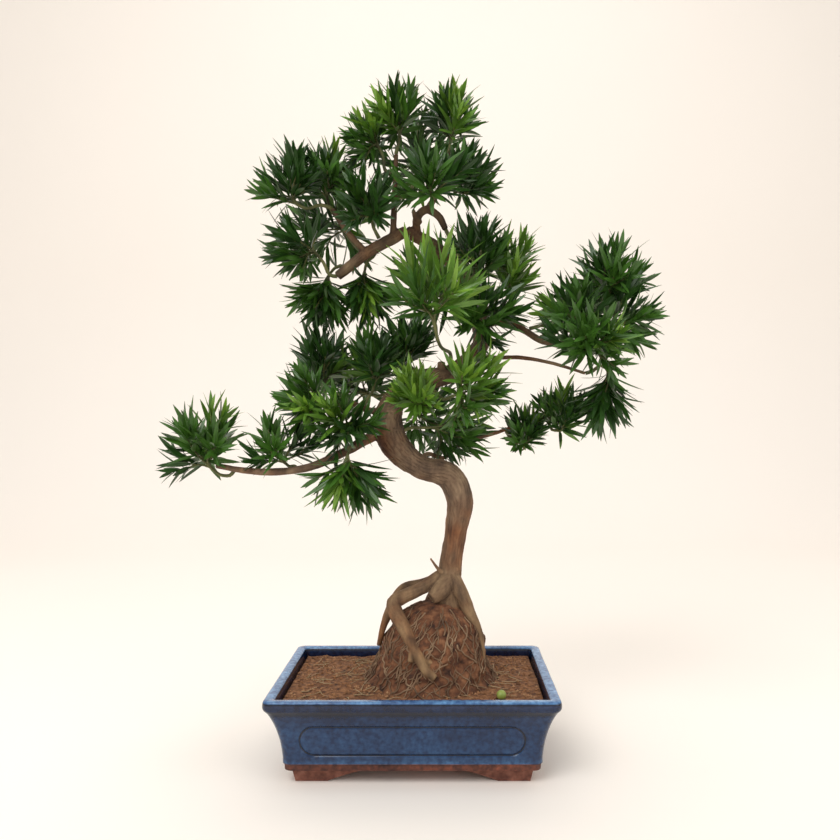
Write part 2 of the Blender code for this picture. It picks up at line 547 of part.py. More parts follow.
class Foliage:
    """The spaces of all masses, what may not be touched in them, and the rule that fills them."""

    def __init__(self, limbs):
        self.limbs = limbs
        self.names = list(MASSES)
        self.centres = np.array([MASSES[name][2] for name in self.names], dtype=float)
        self.reaches = np.array([MASSES[name][3] for name in self.names], dtype=float)
        self.limb_beads = np.concatenate([beads(path) for path in limbs.values()])
        self.seats = {}
        self.stems = {name: self.stem_of(name) for name in self.names}
        self.stem_beads = {name: beads(stem) for name, stem in self.stems.items()}

    def stem_of(self, name):
        """A stem from a seat gap off the limb to the heart of the mass, where shoots part."""
        carrier, place, centre, reach, lean, _, _ = MASSES[name]
        centre, reach, lean = Vector(centre), Vector(reach), Vector(lean).normalized()
        heart = centre - stretched(lean, reach) * HEART_DEPTH
        position, direction, radius = point_on_path(self.limbs[carrier], place)
        if place == 1:
            out = direction
            start = position + out * SEAT_GAP
        else:
            towards = heart - position
            out = (towards - direction * towards.dot(direction)).normalized()
            start = position + out * (radius + SEAT_GAP)
        pull = (heart - start).length * CURVE_PULL
        points = bezier(start, start + out * pull, heart - lean * pull, heart, STEM_SPANS)
        self.seats[name] = out
        return with_radii(points, STEM_RADII)

    def keeps_to_space(self, name, points):
        """True where every point is in the mass's own space and nearer to it than to another."""
        index = self.names.index(name)
        points = np.array([tuple(point) for point in points])
        nearness = np.linalg.norm((points[:, None] - self.centres) / self.reaches, axis=2)
        own = nearness[:, index]
        others = np.delete(nearness, index, axis=1).min(axis=1)
        return bool(np.all(own <= 1) and np.all(own + SPACE_MARGIN < others))

    def clears_wood(self, name, points, clearance=LIMB_CLEARANCE):
        """True where every point is clear of the limbs and of the other masses' stems."""
        points = np.array([tuple(point) for point in points])
        wood = [self.limb_beads]
        wood += [stem for other, stem in self.stem_beads.items() if other != name]
        wood = np.concatenate(wood)
        distance = np.linalg.norm(points[:, None] - wood[:, :3], axis=2)
        return bool(np.all(distance > wood[:, 3] + clearance))

    def leaf_points(self, root, direction, edge, length):
        """Points all over the leaf, closely enough for the tests of its space."""
        points = []
        for step in range(2, LEAF_TEST_STEPS + 1):
            share = step / LEAF_TEST_STEPS
            rise = share / LEAF_WIDEST
            fall = (1 - share) / (1 - LEAF_WIDEST)
            half_width = length * LEAF_WIDTH_SHARE / 2 * min(rise, fall)
            for across in (-1, -0.5, 0, 0.5, 1):
                points.append(root + direction * length * share + edge * half_width * across)
        return points

    def grow_leaves(self, name, shoot, length, turn, blocked):
        """Leaves in a spiral along the shoot, opening wider the lower they stand.

        A leaf that would cross a twig or a leaf of its own mass is left out.
        """
        leaves = []
        frames = carried_frames(shoot)
        for index in LEAF_PLACES:
            share = index / (len(LEAF_PLACES) - 1)
            place = 1 - LEAFY_SHARE * share
            axis_point, axis, _ = point_on_path(shoot, place)
            widening = (LEAF_OPENING[1] - LEAF_OPENING[0]) * share ** LEAF_OPENING_GROWTH
            opening = LEAF_OPENING[0] + widening
            side = frames[min(int(place * SHOOT_SPANS), SHOOT_SPANS - 1)][1]
            across = around(axis, side, towards_face(turn + index * GOLDEN_ANGLE))
            across = (across - axis * across.dot(axis)).normalized()
            direction = axis * math.cos(opening) + across * math.sin(opening)
            root = axis_point - direction * LEAF_SINK * math.cos(opening)
            edge = direction.cross(across).normalized()
            for shorter in LEAF_LENGTHS:
                leaf = (root, direction, edge, length * shorter)
                points = self.leaf_points(*leaf)
                if not self.keeps_to_space(name, points) or not self.clears_wood(name, points):
                    continue
                blade = BVHTree.FromPolygons(*leaf_mesh(*leaf, start=BARE_ROOT))
                if any(blade.overlap(other) for other in blocked):
                    continue
                leaves.append(leaf)
                blocked.append(blade)
                break
            if len(leaves) == LEAVES_PER_SHOOT:
                break
        return leaves

    def grow(self, name):
        """The stem, the shoots and the leaves of one mass."""
        _, _, centre, reach, lean, count, length = MASSES[name]
        centre, reach, lean = Vector(centre), Vector(reach), Vector(lean).normalized()
        length *= LEAF_ENLARGEMENT
        luck = random.Random(name)
        stem = self.stems[name]
        shoots = []
        for index, way in enumerate(fan_of_directions(lean, count, luck.uniform(0, 6))):
            place = SHOOT_STARTS[0] + (SHOOT_STARTS[1] - SHOOT_STARTS[0]) * (index + 1) / count
            start, along, _ = point_on_path(stem, place)
            end = centre + stretched(way, reach) * SHOOT_REACH
            heading = (way + lean * LEAN_OF_TIPS).normalized()
            leafy_end = min(TIP_LEAF_SHARE * length, TIP_LEAF_LIMIT * (end - start).length)
            tip = end - heading * leafy_end
            pull = (tip - start).length * CURVE_PULL
            points = bezier(start, start + along * pull, tip - heading * pull, tip, SHOOT_SPANS)
            shoot = with_radii(points, SHOOT_RADII)
            inner = [Vector(bead[:3]) for bead in beads(shoot)]
            if self.keeps_to_space(name, inner) and self.clears_wood(name, inner):
                shoots.append(shoot)
        blocked = [BVHTree.FromPolygons(*tube_mesh(twig, TWIG_SIDES)) for twig in [stem] + shoots]
        leaves = []
        for shoot in shoots:
            leaves += self.grow_leaves(name, shoot, length, luck.uniform(0, 6), blocked)
        return stem, shoots, leaves


def leaf_mesh(root, direction, edge, length, start=0.0):
    """A keeled leaf, pointed at root and tip; start leaves off a share at the root."""
    half_width = edge * length * LEAF_WIDTH_SHARE / 2
    keel = direction.cross(edge).normalized() * LEAF_THICKNESS
    middle = root + direction * length * LEAF_WIDEST
    corners = (middle + half_width, middle + keel, middle - half_width)
    vertices = (root + direction * length * start, *corners, root + direction * length)
    faces = []
    for side in range(3):
        faces.append((0, 1 + side, 1 + (side + 1) % 3))
        faces.append((4, 1 + (side + 1) % 3, 1 + side))
    return vertices, faces


def make_foliage(limbs, leaf_green):
    foliage = Foliage(limbs)
    for name in MASSES:
        stem, shoots, leaves = foliage.grow(name)
        mass = make_tube("foliage_" + name, stem, TWIG_SIDES, leaf_green, start=foliage.seats[name])
        pieces = [make_tube("shoot", shoot, TWIG_SIDES) for shoot in shoots]
        pieces += [make_object("leaf", *leaf_mesh(*leaf)) for leaf in leaves]
        apply_boolean(mass, pieces, "UNION", "MANIFOLD")


def main():
    clear_scene()
    glaze = make_material("blue_glaze", (0.03, 0.09, 0.24), 0.25)
    terracotta = make_material("terracotta", (0.27, 0.09, 0.05), 0.8)
    earth = make_material("earth", (0.16, 0.06, 0.02), 0.95)
    bark = make_material("bark", (0.22, 0.14, 0.08), 0.85)
    leaf_green = make_material("leaf_green", (0.03, 0.11, 0.02), 0.45)
    make_pot(glaze)
    make_feet(terracotta)
    make_soil(earth)
    make_root_ball(earth, trunk_tubes("cutter", None, SEAT_GAP))
    make_trunk(bark)
    limbs = limb_paths()
    make_boughs(bark, limbs)
    make_foliage(limbs, leaf_green)


main()
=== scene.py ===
"""Looks of the buddhist pine bonsai: bark, roots, earth, glazed pot, twigs and leaves.

The crown grows by the same rule as the solids, from the same limbs, masses and reaches, carried
on to finer twigs and life-size leaves. Sizes and places are in millimetres in the solids' frame,
and only the room, the camera and the heights in the looks are in metres.
"""
import random
from math import ceil, copysign, cos, exp, hypot, pi, radians, sin, sqrt

import bmesh
import bpy
import numpy as np
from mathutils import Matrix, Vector, noise
from mathutils.kdtree import KDTree


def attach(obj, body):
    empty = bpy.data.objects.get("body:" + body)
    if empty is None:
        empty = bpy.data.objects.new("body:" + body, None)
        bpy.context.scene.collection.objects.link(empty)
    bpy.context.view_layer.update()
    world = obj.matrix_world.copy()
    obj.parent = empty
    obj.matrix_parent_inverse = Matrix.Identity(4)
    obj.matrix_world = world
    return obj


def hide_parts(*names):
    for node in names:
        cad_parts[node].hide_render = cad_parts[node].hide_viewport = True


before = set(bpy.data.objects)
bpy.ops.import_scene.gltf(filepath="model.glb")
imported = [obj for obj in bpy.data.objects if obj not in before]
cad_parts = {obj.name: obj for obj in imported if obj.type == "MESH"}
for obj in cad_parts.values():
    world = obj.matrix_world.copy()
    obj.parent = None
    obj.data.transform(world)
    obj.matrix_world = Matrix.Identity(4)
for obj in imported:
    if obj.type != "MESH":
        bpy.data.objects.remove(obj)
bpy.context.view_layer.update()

MM = 0.001
UP = Vector((0, 0, 1))
GOLDEN_ANGLE = pi * (3 - sqrt(5))
# Directions with more of the x axis in them than this have a side that is across the y axis
ALONG_X_LIMIT = 0.8

# Driving dimensions
POT_WIDTH = 250
POT_DEPTH = 180
POT_HEIGHT = 75
FOOT_HEIGHT = 12
BASE_TOP = 18
SOIL_TOP = 67.5
SEAT_GAP = 0.3

# Pot walls: how far in from the lip's outline, and how high, from the base up and then down inside
POT_CORNER_RADIUS = 7
POT_OUTSIDE = (
    (16.0, FOOT_HEIGHT + SEAT_GAP), (15.5, BASE_TOP), (14.5, BASE_TOP), (14.3, 24), (12.3, 38),
    (8.0, 53), (3.5, 63), (0.4, 67.5), (0.0, 71), (0.8, POT_HEIGHT - 0.6), (2.0, POT_HEIGHT),
)
POT_INSIDE = ((7.6, POT_HEIGHT), (9.0, 74), (10.5, 60), (16.0, 38), (21.0, 23), (24.0, 21))

# Root ball: radius at each height above the soil; it leans and is a little shallower than wide
ROOT_BALL_PROFILE = ((64, 0), (56, 9), (50, 25), (45, 42), (38, 55), (28, 66), (13, 73))
ROOT_BALL_FOOT = Vector((14, -5))
ROOT_BALL_LEAN = 0.07
ROOT_BALL_DEPTH_SHARE = 0.93

# The trunk's axis from its flat foot to its fork: x, y, z and radius
TRUNK = (
    (29, 0, 134, 16), (30, 0, 152, 12.4), (33, 0, 176, 10.8), (38, -1, 208, 10.8),
    (41, -4, 236, 12.6), (31, -6, 257, 12.6), (4, -10, 266, 11.2), (-16, -12, 283, 13.2),
    (-25, -12, 305, 14.0), (-17, -8, 330, 10.6), (8, 3, 344, 9.9), (40, 21, 357, 9.2),
    (61, 35, 380, 9.0), (62, 38, 404, 8.7), (44, 33, 450, 7.0), (19, 20, 473, 6.5),
    (-9, 4, 486, 5.9),
)
TRUNK_STEP = 12

# Roots that flare from the trunk's foot over the root ball, fused with the trunk
ROOTS = (
    ((26, -2, 166, 6.0), (7, -8, 154, 6.2), (-10, -14, 147, 6.6), (-19, -19, 142, 6.8),
     (-15, -26, 131, 6.6), (-8, -33, 121, 6.2), (-2, -40, 111, 5.6), (5, -46, 100, 5.0),
     (11, -52, 90, 4.2), (19, -55, 84, 3.4)),
    ((-4, -39, 112, 3.6), (-2, -44, 104, 3.2), (-3, -47, 96, 2.4)),
    ((4, -44, 104, 3.0), (12, -46, 98, 3.0), (19, -49, 91, 2.2)),
    ((-19, -16, 143, 5.0), (-25, -12, 130, 4.4), (-30, -8, 116, 3.2), (-34, -6, 100, 2.0)),
    ((24, 6, 162, 4.4), (5, 12, 155, 3.8), (-12, 16, 150, 3.5), (-22, 18, 138, 3.0),
     (-28, 20, 116, 2.2)),
    ((34, -4, 164, 7.0), (43, -9, 148, 6.6), (50, -13, 132, 5.6), (57, -17, 120, 3.6),
     (61, -18, 104, 2.6), (62, -18, 86, 2.0)),
    ((30, -4, 162, 8.0), (24, -12, 153, 8.4), (15, -17, 146, 6.0)),
    ((34, 4, 162, 6.5), (40, 20, 142, 5.6), (43, 33, 118, 4.6), (42, 43, 92, 3.4)),
    ((26, 6, 160, 6.0), (14, 24, 138, 5.0), (6, 37, 112, 4.0), (2, 46, 88, 2.8)),
)

# Boughs: the limb that carries it, then x, y, z and radius from inside that limb to its own tip
BOUGHS = {
    "top_left": ("trunk", (
        (-9, 4, 486, 5.8), (-29, -4, 473, 5.8), (-45, -8, 463, 5.6), (-60, -8, 451, 5.1),
        (-72, -6, 442, 4.4))),
    "top_left_side": ("top_left", (
        (-45, -8, 463, 3.3), (-56, -15, 474, 2.9), (-67, -13, 488, 2.6), (-76, -11, 503, 2.2))),
    "apex_left": ("top_left", (
        (-21, -1, 478, 3.5), (-20, -2, 500, 3.1), (-19, -2, 530, 2.6), (-18, -2, 556, 2.1))),
    "arch": ("trunk", (
        (2, 11, 481, 4.2), (1, 1, 496, 4.0), (10, -8, 503, 3.8), (21, -10, 497, 3.5),
        (28, -12, 484, 3.0))),
    "apex_right": ("arch", (
        (11, -8, 502, 3.1), (18, -3, 516, 2.8), (27, 3, 538, 2.5), (31, 6, 560, 2.2))),
    "right_upper": ("trunk", (
        (62, 38, 402, 4.6), (83, 27, 404, 4.3), (100, 16, 396, 3.8), (117, 6, 384, 3.3),
        (135, 0, 378, 2.8))),
    "right_mid": ("trunk", (
        (57, 33, 376, 2.6), (70, 18, 369, 2.2), (98, 0, 367, 2.0), (124, -7, 362, 1.8),
        (157, -8, 352, 1.6))),
    "right_low": ("trunk", (
        (3, -9, 267, 2.6), (11, 8, 277, 2.2), (26, 13, 273, 2.0), (42, 20, 285, 1.9),
        (78, 24, 297, 1.8), (119, 22, 312, 1.6))),
    "left_low": ("trunk", (
        (-23, -12, 298, 5.0), (-40, -16, 293, 4.8), (-63, -24, 280, 4.3), (-92, -28, 267, 3.9),
        (-124, -26, 262, 3.4), (-156, -20, 263, 2.9), (-182, -14, 267, 2.4))),
    "left_mid": ("trunk", (
        (-23, -11, 318, 3.6), (-40, -13, 317, 3.2), (-55, -16, 323, 2.8), (-71, -16, 328, 2.4))),
    "back_top": ("trunk", (
        (44, 33, 450, 4.2), (38, 46, 455, 3.7), (31, 60, 453, 3.1))),
    "back_low": ("trunk", (
        (-11, -5, 335, 4.2), (-15, 16, 338, 3.8), (-18, 36, 336, 3.2), (-19, 52, 337, 2.6))),
}
BOUGH_STEP = 11

# Foliage masses: carrying limb, place along it (1 is its tip), centre, reach along x, y and z,
# lean of the shoots, number of shoots and length of leaf
MASSES = {
    "crest_left": ("apex_left", 1, (-17, -2, 601), (29, 34, 39), (-0.1, 0, 1), 3, 34),
    "crest_right": ("apex_right", 1, (35, 6, 600), (29, 34, 43), (0.12, 0, 1), 3, 34),
    "crest_front": ("apex_right", 0.45, (16, -38, 534), (38, 31, 36), (0, -0.45, 0.9), 3, 38),
    "crest_east": ("apex_right", 0.7, (53, 6, 542), (28, 31, 34), (0.7, 0, 0.7), 3, 34),
    "crest_west": ("apex_left", 0.75, (-48, 0, 579), (25, 27, 27), (-0.7, 0, 0.7), 3, 32),
    "crest_back": ("apex_left", 0.5, (6, 58, 575), (47, 40, 47), (0.1, 0.8, 0.6), 3, 38),
    "upper_left_tip": ("top_left_side", 1, (-115, -22, 532), (27, 34, 39), (-0.35, 0, 0.9), 3, 38),
    "upper_left_rise": ("top_left_side", 0.8, (-83, 6, 545), (26, 34, 38), (0, 0.1, 1), 3, 36),
    "upper_left_heart": ("top_left", 0.35, (-42, -18, 517), (32, 34, 35), (-0.1, -0.2, 1), 3, 36),
    "upper_left_low": ("top_left", 1, (-113, -14, 474), (32, 34, 32), (-0.85, 0, 0.45), 3, 38),
    "upper_left_drop": ("top_left", 0.88, (-91, 2, 421), (34, 34, 38), (-0.4, 0, -0.8), 3, 38),
    "upper_mid_drop": ("top_left", 0.45, (-42, 14, 427), (34, 34, 34), (0.2, 0.1, -0.8), 3, 36),
    "upper_left_back": ("top_left", 0.6, (-84, 58, 510), (49, 38, 52), (-0.3, 0.8, 0.4), 3, 38),
    "plume": ("trunk", 0.6, (17, -80, 434), (43, 40, 53), (0, -0.1, 1), 3, 46),
    "centre_top": ("arch", 1, (60, -6, 475), (29, 34, 44), (0.15, 0, 1), 3, 40),
    "spray": ("trunk", 0.76, (95, 24, 461), (27, 31, 56), (0.45, 0, 0.85), 3, 34),
    "centre_heart": ("trunk", 0.74, (68, -22, 416), (38, 38, 35), (0.4, -0.5, 0.5), 3, 38),
    "centre_back": ("back_top", 1, (25, 84, 462), (49, 40, 56), (-0.1, 0.7, 0.6), 3, 40),
    "left_crest": ("left_mid", 0.85, (-88, 4, 371), (30, 34, 38), (-0.15, 0, 1), 3, 36),
    "left_crest_inner": ("left_mid", 0.5, (-38, -4, 372), (27, 34, 39), (0, 0, 1), 3, 36),
    "left_shelf_tip": ("left_mid", 1, (-103, -26, 334), (28, 31, 28), (-0.85, -0.1, 0.5), 3, 34),
    "left_shelf": ("left_mid", 0.6, (-60, -46, 317), (34, 29, 31), (0, -0.7, 0.4), 3, 34),
    "left_back": ("back_low", 0.85, (-72, 68, 354), (49, 40, 47), (-0.6, 0.5, 0.5), 3, 38),
    "centre_low": ("trunk", 0.6, (-8, 26, 388), (26, 31, 37), (-0.1, 0.1, 1), 3, 36),
    "left_end": ("left_low", 0.9, (-198, -10, 297), (38, 45, 47), (-0.4, 0, 1), 5, 36),
    "left_run": ("left_low", 0.55, (-120, -18, 294), (38, 36, 34), (-0.1, 0, 1), 3, 30),
    "left_hanging": ("left_low", 0.22, (-56, -48, 251), (41, 31, 39), (0.05, -0.1, -1), 3, 38),
    "right_top": ("right_upper", 0.85, (185, 14, 458), (36, 36, 38), (0.1, 0.1, 1), 3, 38),
    "right_inner": ("right_upper", 0.6, (141, -10, 421), (34, 34, 38), (-0.4, 0, 0.9), 3, 36),
    "right_outer": ("right_upper", 1, (205, 4, 416), (31, 36, 43), (0.85, 0, 0.45), 3, 40),
    "right_front": ("right_upper", 0.92, (157, -48, 388), (44, 34, 34), (0, -0.8, 0.4), 3, 38),
    "right_back": ("right_upper", 0.75, (172, 62, 426), (45, 38, 45), (0.2, 0.8, 0.5), 3, 38),
    "right_fall": ("right_mid", 1, (176, -10, 323), (37, 36, 47), (0.1, 0, -1), 3, 38),
    "right_low_end": ("right_low", 1, (143, 20, 322), (28, 31, 35), (0.3, 0, 0.6), 3, 32),
    "right_low_tuft": ("right_low", 0.75, (102, 14, 305), (21, 27, 28), (0, 0, 0.5), 3, 28),
    "front_right": ("trunk", 0.54, (56, -64, 346), (35, 34, 35), (0.6, -0.4, 0.5), 3, 38),
    "low_right": ("trunk", 0.4, (44, 22, 306), (40, 40, 35), (0.6, 0.2, 0.1), 3, 38),
    "front_tuft": ("trunk", 0.49, (0, -56, 340), (20, 29, 29), (-0.2, -0.4, 0.8), 3, 32),
    "low_back": ("back_low", 1, (4, 84, 322), (47, 38, 45), (0.2, 0.9, 0.1), 3, 38),
}
# A stem runs to the heart, this share of the reach behind the centre, and shoots fan out from it
HEART_DEPTH = 0.75
FAN_SPREAD = radians(88)
# A curve's handles reach this share of the distance between its ends
CURVE_PULL = 0.4
STEM_RADII = (1.9, 1.3)
STEM_SPANS = 3
# Shoots start near the stem's end and, with their leaves, end at this share of the reach
SHOOT_STARTS = (0.8, 0.99)
SHOOT_REACH = 0.98
LEAN_OF_TIPS = 0.6
# Their wood ends before that by a share of a leaf's length, or of their own length if shorter
TIP_LEAF_SHARE = 0.75
TIP_LEAF_LIMIT = 0.55
# Leaves stand on this share of a twig and open wider the further back they stand
LEAFY_SHARE = 0.8
OPENING_GROWTH = 0.8
# Spacing of the points along wood in clearance tests
BEAD_STEP = 2.5


# Curves and the growth rule, as in the solids

def smooth_path(controls, step):
    """Points and radii along a centripetal Catmull-Rom curve, about one step apart."""
    knots = [np.array(control, dtype=float) for control in controls]
    knots = [2 * knots[0] - knots[1]] + knots + [2 * knots[-1] - knots[-2]]
    path = []
    for a, b, c, d in zip(knots, knots[1:], knots[2:], knots[3:]):
        times = [0.0]
        for start, end in ((a, b), (b, c), (c, d)):
            times.append(times[-1] + sqrt(np.linalg.norm((end - start)[:3])))
        count = max(1, round(np.linalg.norm((c - b)[:3]) / step))
        for share in range(count):
            time = times[1] + (times[2] - times[1]) * share / count
            ab = a + (b - a) * (time - times[0]) / (times[1] - times[0])
            bc = b + (c - b) * (time - times[1]) / (times[2] - times[1])
            cd = c + (d - c) * (time - times[2]) / (times[3] - times[2])
            abc = ab + (bc - ab) * (time - times[0]) / (times[2] - times[0])
            bcd = bc + (cd - bc) * (time - times[1]) / (times[3] - times[1])
            path.append(abc + (bcd - abc) * (time - times[1]) / (times[2] - times[1]))
    path.append(knots[-2])
    return [(Vector(point[:3]), float(point[3])) for point in path]


def any_side(direction):
    """A unit vector across the direction, the same one each time."""
    helper = Vector((1, 0, 0)) if abs(direction.x) < ALONG_X_LIMIT else Vector((0, 1, 0))
    return direction.cross(helper).normalized()


def carried_frames(path):
    """Direction and side at each point of a path; the side is carried along without twist."""
    points = [point for point, radius in path]
    side = any_side((points[1] - points[0]).normalized())
    frames = []
    for before, after in zip(points[:1] + points, points[1:] + points[-1:]):
        direction = (after - before).normalized()
        side = (side - direction * side.dot(direction)).normalized()
        frames.append((direction, side))
    return frames


def around(direction, side, angle):
    """The side turned by an angle round the direction."""
    return side * cos(angle) + direction.cross(side) * sin(angle)


def tube_rings(path, sides):
    """Rings of points round the path, each as wide as the path's radius there."""
    rings = []
    for (point, radius), (direction, side) in zip(path, carried_frames(path)):
        rings.append([point + radius * around(direction, side, 2 * pi * step / sides)
                      for step in range(sides)])
    return rings


def bezier(a, b, c, d, count):
    """Points along a cubic curve, both ends included."""
    points = []
    for step in range(count + 1):
        t = step / count
        u = 1 - t
        points.append(a * u ** 3 + b * 3 * u * u * t + c * 3 * u * t * t + d * t ** 3)
    return points


def with_radii(points, radii):
    """The points, each with a radius that goes evenly from the first radius to the last."""
    last = len(points) - 1
    return [(point, radii[0] + (radii[1] - radii[0]) * index / last)
            for index, point in enumerate(points)]


def point_on_path(path, place):
    """Position, direction and radius at a share of the path's length."""
    lengths = [0.0]
    for (start, _), (end, _) in zip(path, path[1:]):
        lengths.append(lengths[-1] + (end - start).length)
    wanted = place * lengths[-1]
    for index in range(len(path) - 1):
        if wanted <= lengths[index + 1] or index == len(path) - 2:
            share = (wanted - lengths[index]) / (lengths[index + 1] - lengths[index])
            (start, start_radius), (end, end_radius) = path[index], path[index + 1]
            position = start.lerp(end, share)
            radius = start_radius + (end_radius - start_radius) * share
            return position, (end - start).normalized(), radius


def fan_of_directions(lean, count, turn):
    """Directions spread evenly round the lean, each a golden angle on from the last."""
    side = any_side(lean)
    for index in range(count):
        polar = FAN_SPREAD * sqrt((index + 0.5) / count)
        across = around(lean, side, index * GOLDEN_ANGLE + turn)
        yield (lean * cos(polar) + across * sin(polar)).normalized()


def beads(path):
    """Points with radii closely along a path, as rows of an array, for clearance tests."""
    rows = []
    for (start, start_radius), (end, end_radius) in zip(path, path[1:]):
        count = max(1, ceil((end - start).length / BEAD_STEP))
        for step in range(count + 1):
            share = step / count
            rows.append((*start.lerp(end, share), start_radius + (end_radius - start_radius) * share))
    return np.array(rows)


# Meshes and looks

# Dark, middle and light colour, fineness of the grain, roughness, strength of the bumps
GRAINS = {
    "twig_bark": ((0.05, 0.05, 0.02), (0.11, 0.12, 0.04), (0.2, 0.2, 0.07), 90, 0.7, 0.5),
    "clay": ((0.09, 0.03, 0.02), (0.19, 0.07, 0.045), (0.28, 0.12, 0.08), 160, 0.85, 0.5),
    "soil_grains": ((0.045, 0.018, 0.009), (0.17, 0.07, 0.028), (0.33, 0.16, 0.07), 240, 0.95, 0.9),
    "crumbs": ((0.1, 0.045, 0.02), (0.3, 0.14, 0.06), (0.5, 0.3, 0.16), 70, 0.95, 0.5),
    "straw": ((0.2, 0.13, 0.07), (0.36, 0.26, 0.14), (0.5, 0.4, 0.24), 50, 0.9, 0.5),
    "ball_earth": ((0.03, 0.012, 0.007), (0.13, 0.05, 0.022), (0.27, 0.12, 0.055), 150, 0.95, 0.9),
    "fine_root": ((0.08, 0.045, 0.025), (0.19, 0.11, 0.06), (0.33, 0.22, 0.13), 60, 0.85, 0.5),
    "fruit_skin": ((0.16, 0.22, 0.04), (0.24, 0.32, 0.06), (0.36, 0.42, 0.1), 200, 0.4, 0.2),
}
GRAIN_STOPS = (0.3, 0.5, 0.72)
# Bumps are this much finer than the grain, and this high
BUMP_FINENESS = 2.5
GRAIN_BUMP_HEIGHT = 0.0006
BUMP_DETAIL = 8

# Shares of the pot's height: clay base, a painted highlight on the glaze's lower edge, blue walls, painted
# shade under the lip, a dark brown line at its edge, and a painted highlight on the lip's pale top
CLAY_TOP, GLAZE_BOTTOM = 0.236, 0.25
GLAZE_AND_PAINTED_LIGHT_BANDS = (
    (0.0, (0.16, 0.055, 0.035)), (CLAY_TOP, (0.2, 0.07, 0.045)), (GLAZE_BOTTOM, (0.03, 0.09, 0.2)),
    (0.3, (0.012, 0.045, 0.12)), (0.6, (0.011, 0.04, 0.11)), (0.8, (0.007, 0.026, 0.08)),
    (0.86, (0.002, 0.004, 0.012)), (0.89, (0.004, 0.013, 0.045)), (0.955, (0.006, 0.018, 0.06)),
    (0.972, (0.01, 0.007, 0.006)), (0.985, (0.06, 0.16, 0.34)), (1.0, (0.1, 0.24, 0.46)),
)
CLAY_ROUGHNESS, GLAZE_ROUGHNESS = (0.85, 0.85, 0.85), (0.16, 0.16, 0.16)

LEAF_SHADES = (0.7, 1.3)


def add_object(name, data):
    """An object in the scene."""
    thing = bpy.data.objects.new(name, data)
    bpy.context.scene.collection.objects.link(thing)
    return thing


def mesh_object(name, vertices, faces, smooth=True):
    """A mesh object from points in millimetres, with its faces turned outward."""
    mesh = bpy.data.meshes.new(name)
    mesh.from_pydata([Vector(point) * MM for point in vertices], [], faces)
    shape = bmesh.new()
    shape.from_mesh(mesh)
    bmesh.ops.recalc_face_normals(shape, faces=shape.faces)
    shape.to_mesh(mesh)
    shape.free()
    if smooth:
        mesh.shade_smooth()
    return add_object(name, mesh)


def joined_meshes(parts):
    """One list of vertices and faces from several."""
    vertices, faces = [], []
    for part_vertices, part_faces in parts:
        start = len(vertices)
        vertices += part_vertices
        faces += [tuple(start + index for index in face) for face in part_faces]
    return vertices, faces


def loft_mesh(rings):
    """A closed solid through rings of equal length, capped at both ends."""
    count = len(rings[0])
    vertices = [point for ring in rings for point in ring]
    faces = [tuple(range(count)), tuple(range(len(vertices) - count, len(vertices)))]
    for level in range(len(rings) - 1):
        for side in range(count):
            low = level * count + side
            beside = level * count + (side + 1) % count
            faces.append((low, beside, beside + count, low + count))
    return vertices, faces


def tube_mesh(path, sides):
    """A closed tube along a path."""
    return loft_mesh(tube_rings(path, sides))


def new_material(name, roughness):
    """A material of one roughness, with its node tree and its shader."""
    material = bpy.data.materials.new(name)
    material.use_nodes = True
    shader = material.node_tree.nodes["Principled BSDF"]
    shader.inputs["Roughness"].default_value = roughness
    return material, material.node_tree, shader


def ramp(tree, factor, stops):
    """A colour ramp along a factor; its output socket."""
    node = tree.nodes.new("ShaderNodeValToRGB")
    elements = node.color_ramp.elements
    for index, (place, colour) in enumerate(stops):
        element = elements[index] if index < 2 else elements.new(place)
        element.position = place
        element.color = (*colour, 1)
    tree.links.new(factor, node.inputs["Fac"])
    return node.outputs["Color"]


def add_node(tree, kind, values, links):
    """A node with its input values and the sockets that feed its other inputs."""
    node = tree.nodes.new("ShaderNode" + kind)
    for name, value in values.items():
        node.inputs[name].default_value = value
    for name, source in links.items():
        tree.links.new(source, node.inputs[name])
    return node


def own_place(tree):
    """The socket that gives each point's place in its piece, in metres."""
    return tree.nodes.new("ShaderNodeTexCoord").outputs["Object"]


def noise_colour(tree, stops, scale, detail=6.0, stretch=(1, 1, 1)):
    """A colour ramp driven by noise; its output socket."""
    mapping = add_node(tree, "Mapping", {"Scale": stretch}, {"Vector": own_place(tree)})
    texture = add_node(tree, "TexNoise", {"Scale": scale, "Detail": detail},
                       {"Vector": mapping.outputs["Vector"]})
    return ramp(tree, texture.outputs["Fac"], stops)


def height_ramp(tree, low, high, stops):
    """A colour ramp from one height above the ground to another, in metres."""
    split = add_node(tree, "SeparateXYZ", {}, {"Vector": own_place(tree)})
    span = add_node(tree, "MapRange", {"From Min": low, "From Max": high},
                    {"Value": split.outputs["Z"]})
    return ramp(tree, span.outputs["Result"], stops)


def hollow_shade(tree, stops):
    """A colour ramp from the hollows of the surface to its ridges, for painted shade in the hollows; its
    output socket.
    """
    geometry = tree.nodes.new("ShaderNodeNewGeometry")
    return ramp(tree, geometry.outputs["Pointiness"], stops)


def multiplied(tree, colours):
    """The product of all the colours; its output socket."""
    product = colours[0]
    for colour in colours[1:]:
        node = tree.nodes.new("ShaderNodeMix")
        node.data_type = "RGBA"
        node.blend_type = "MULTIPLY"
        node.inputs["Factor"].default_value = 1.0
        tree.links.new(product, node.inputs["A"])
        tree.links.new(colour, node.inputs["B"])
        product = node.outputs["Result"]
    return product


def add_bump(tree, shader, scale, strength, height):
    """Fine bumps that only the light shows; their height is in metres."""
    texture = add_node(tree, "TexNoise", {"Scale": scale, "Detail": BUMP_DETAIL},
                       {"Vector": own_place(tree)})
    bump = add_node(tree, "Bump", {"Strength": strength, "Distance": height},
                    {"Height": texture.outputs["Fac"]})
    tree.links.new(bump.outputs["Normal"], shader.inputs["Normal"])


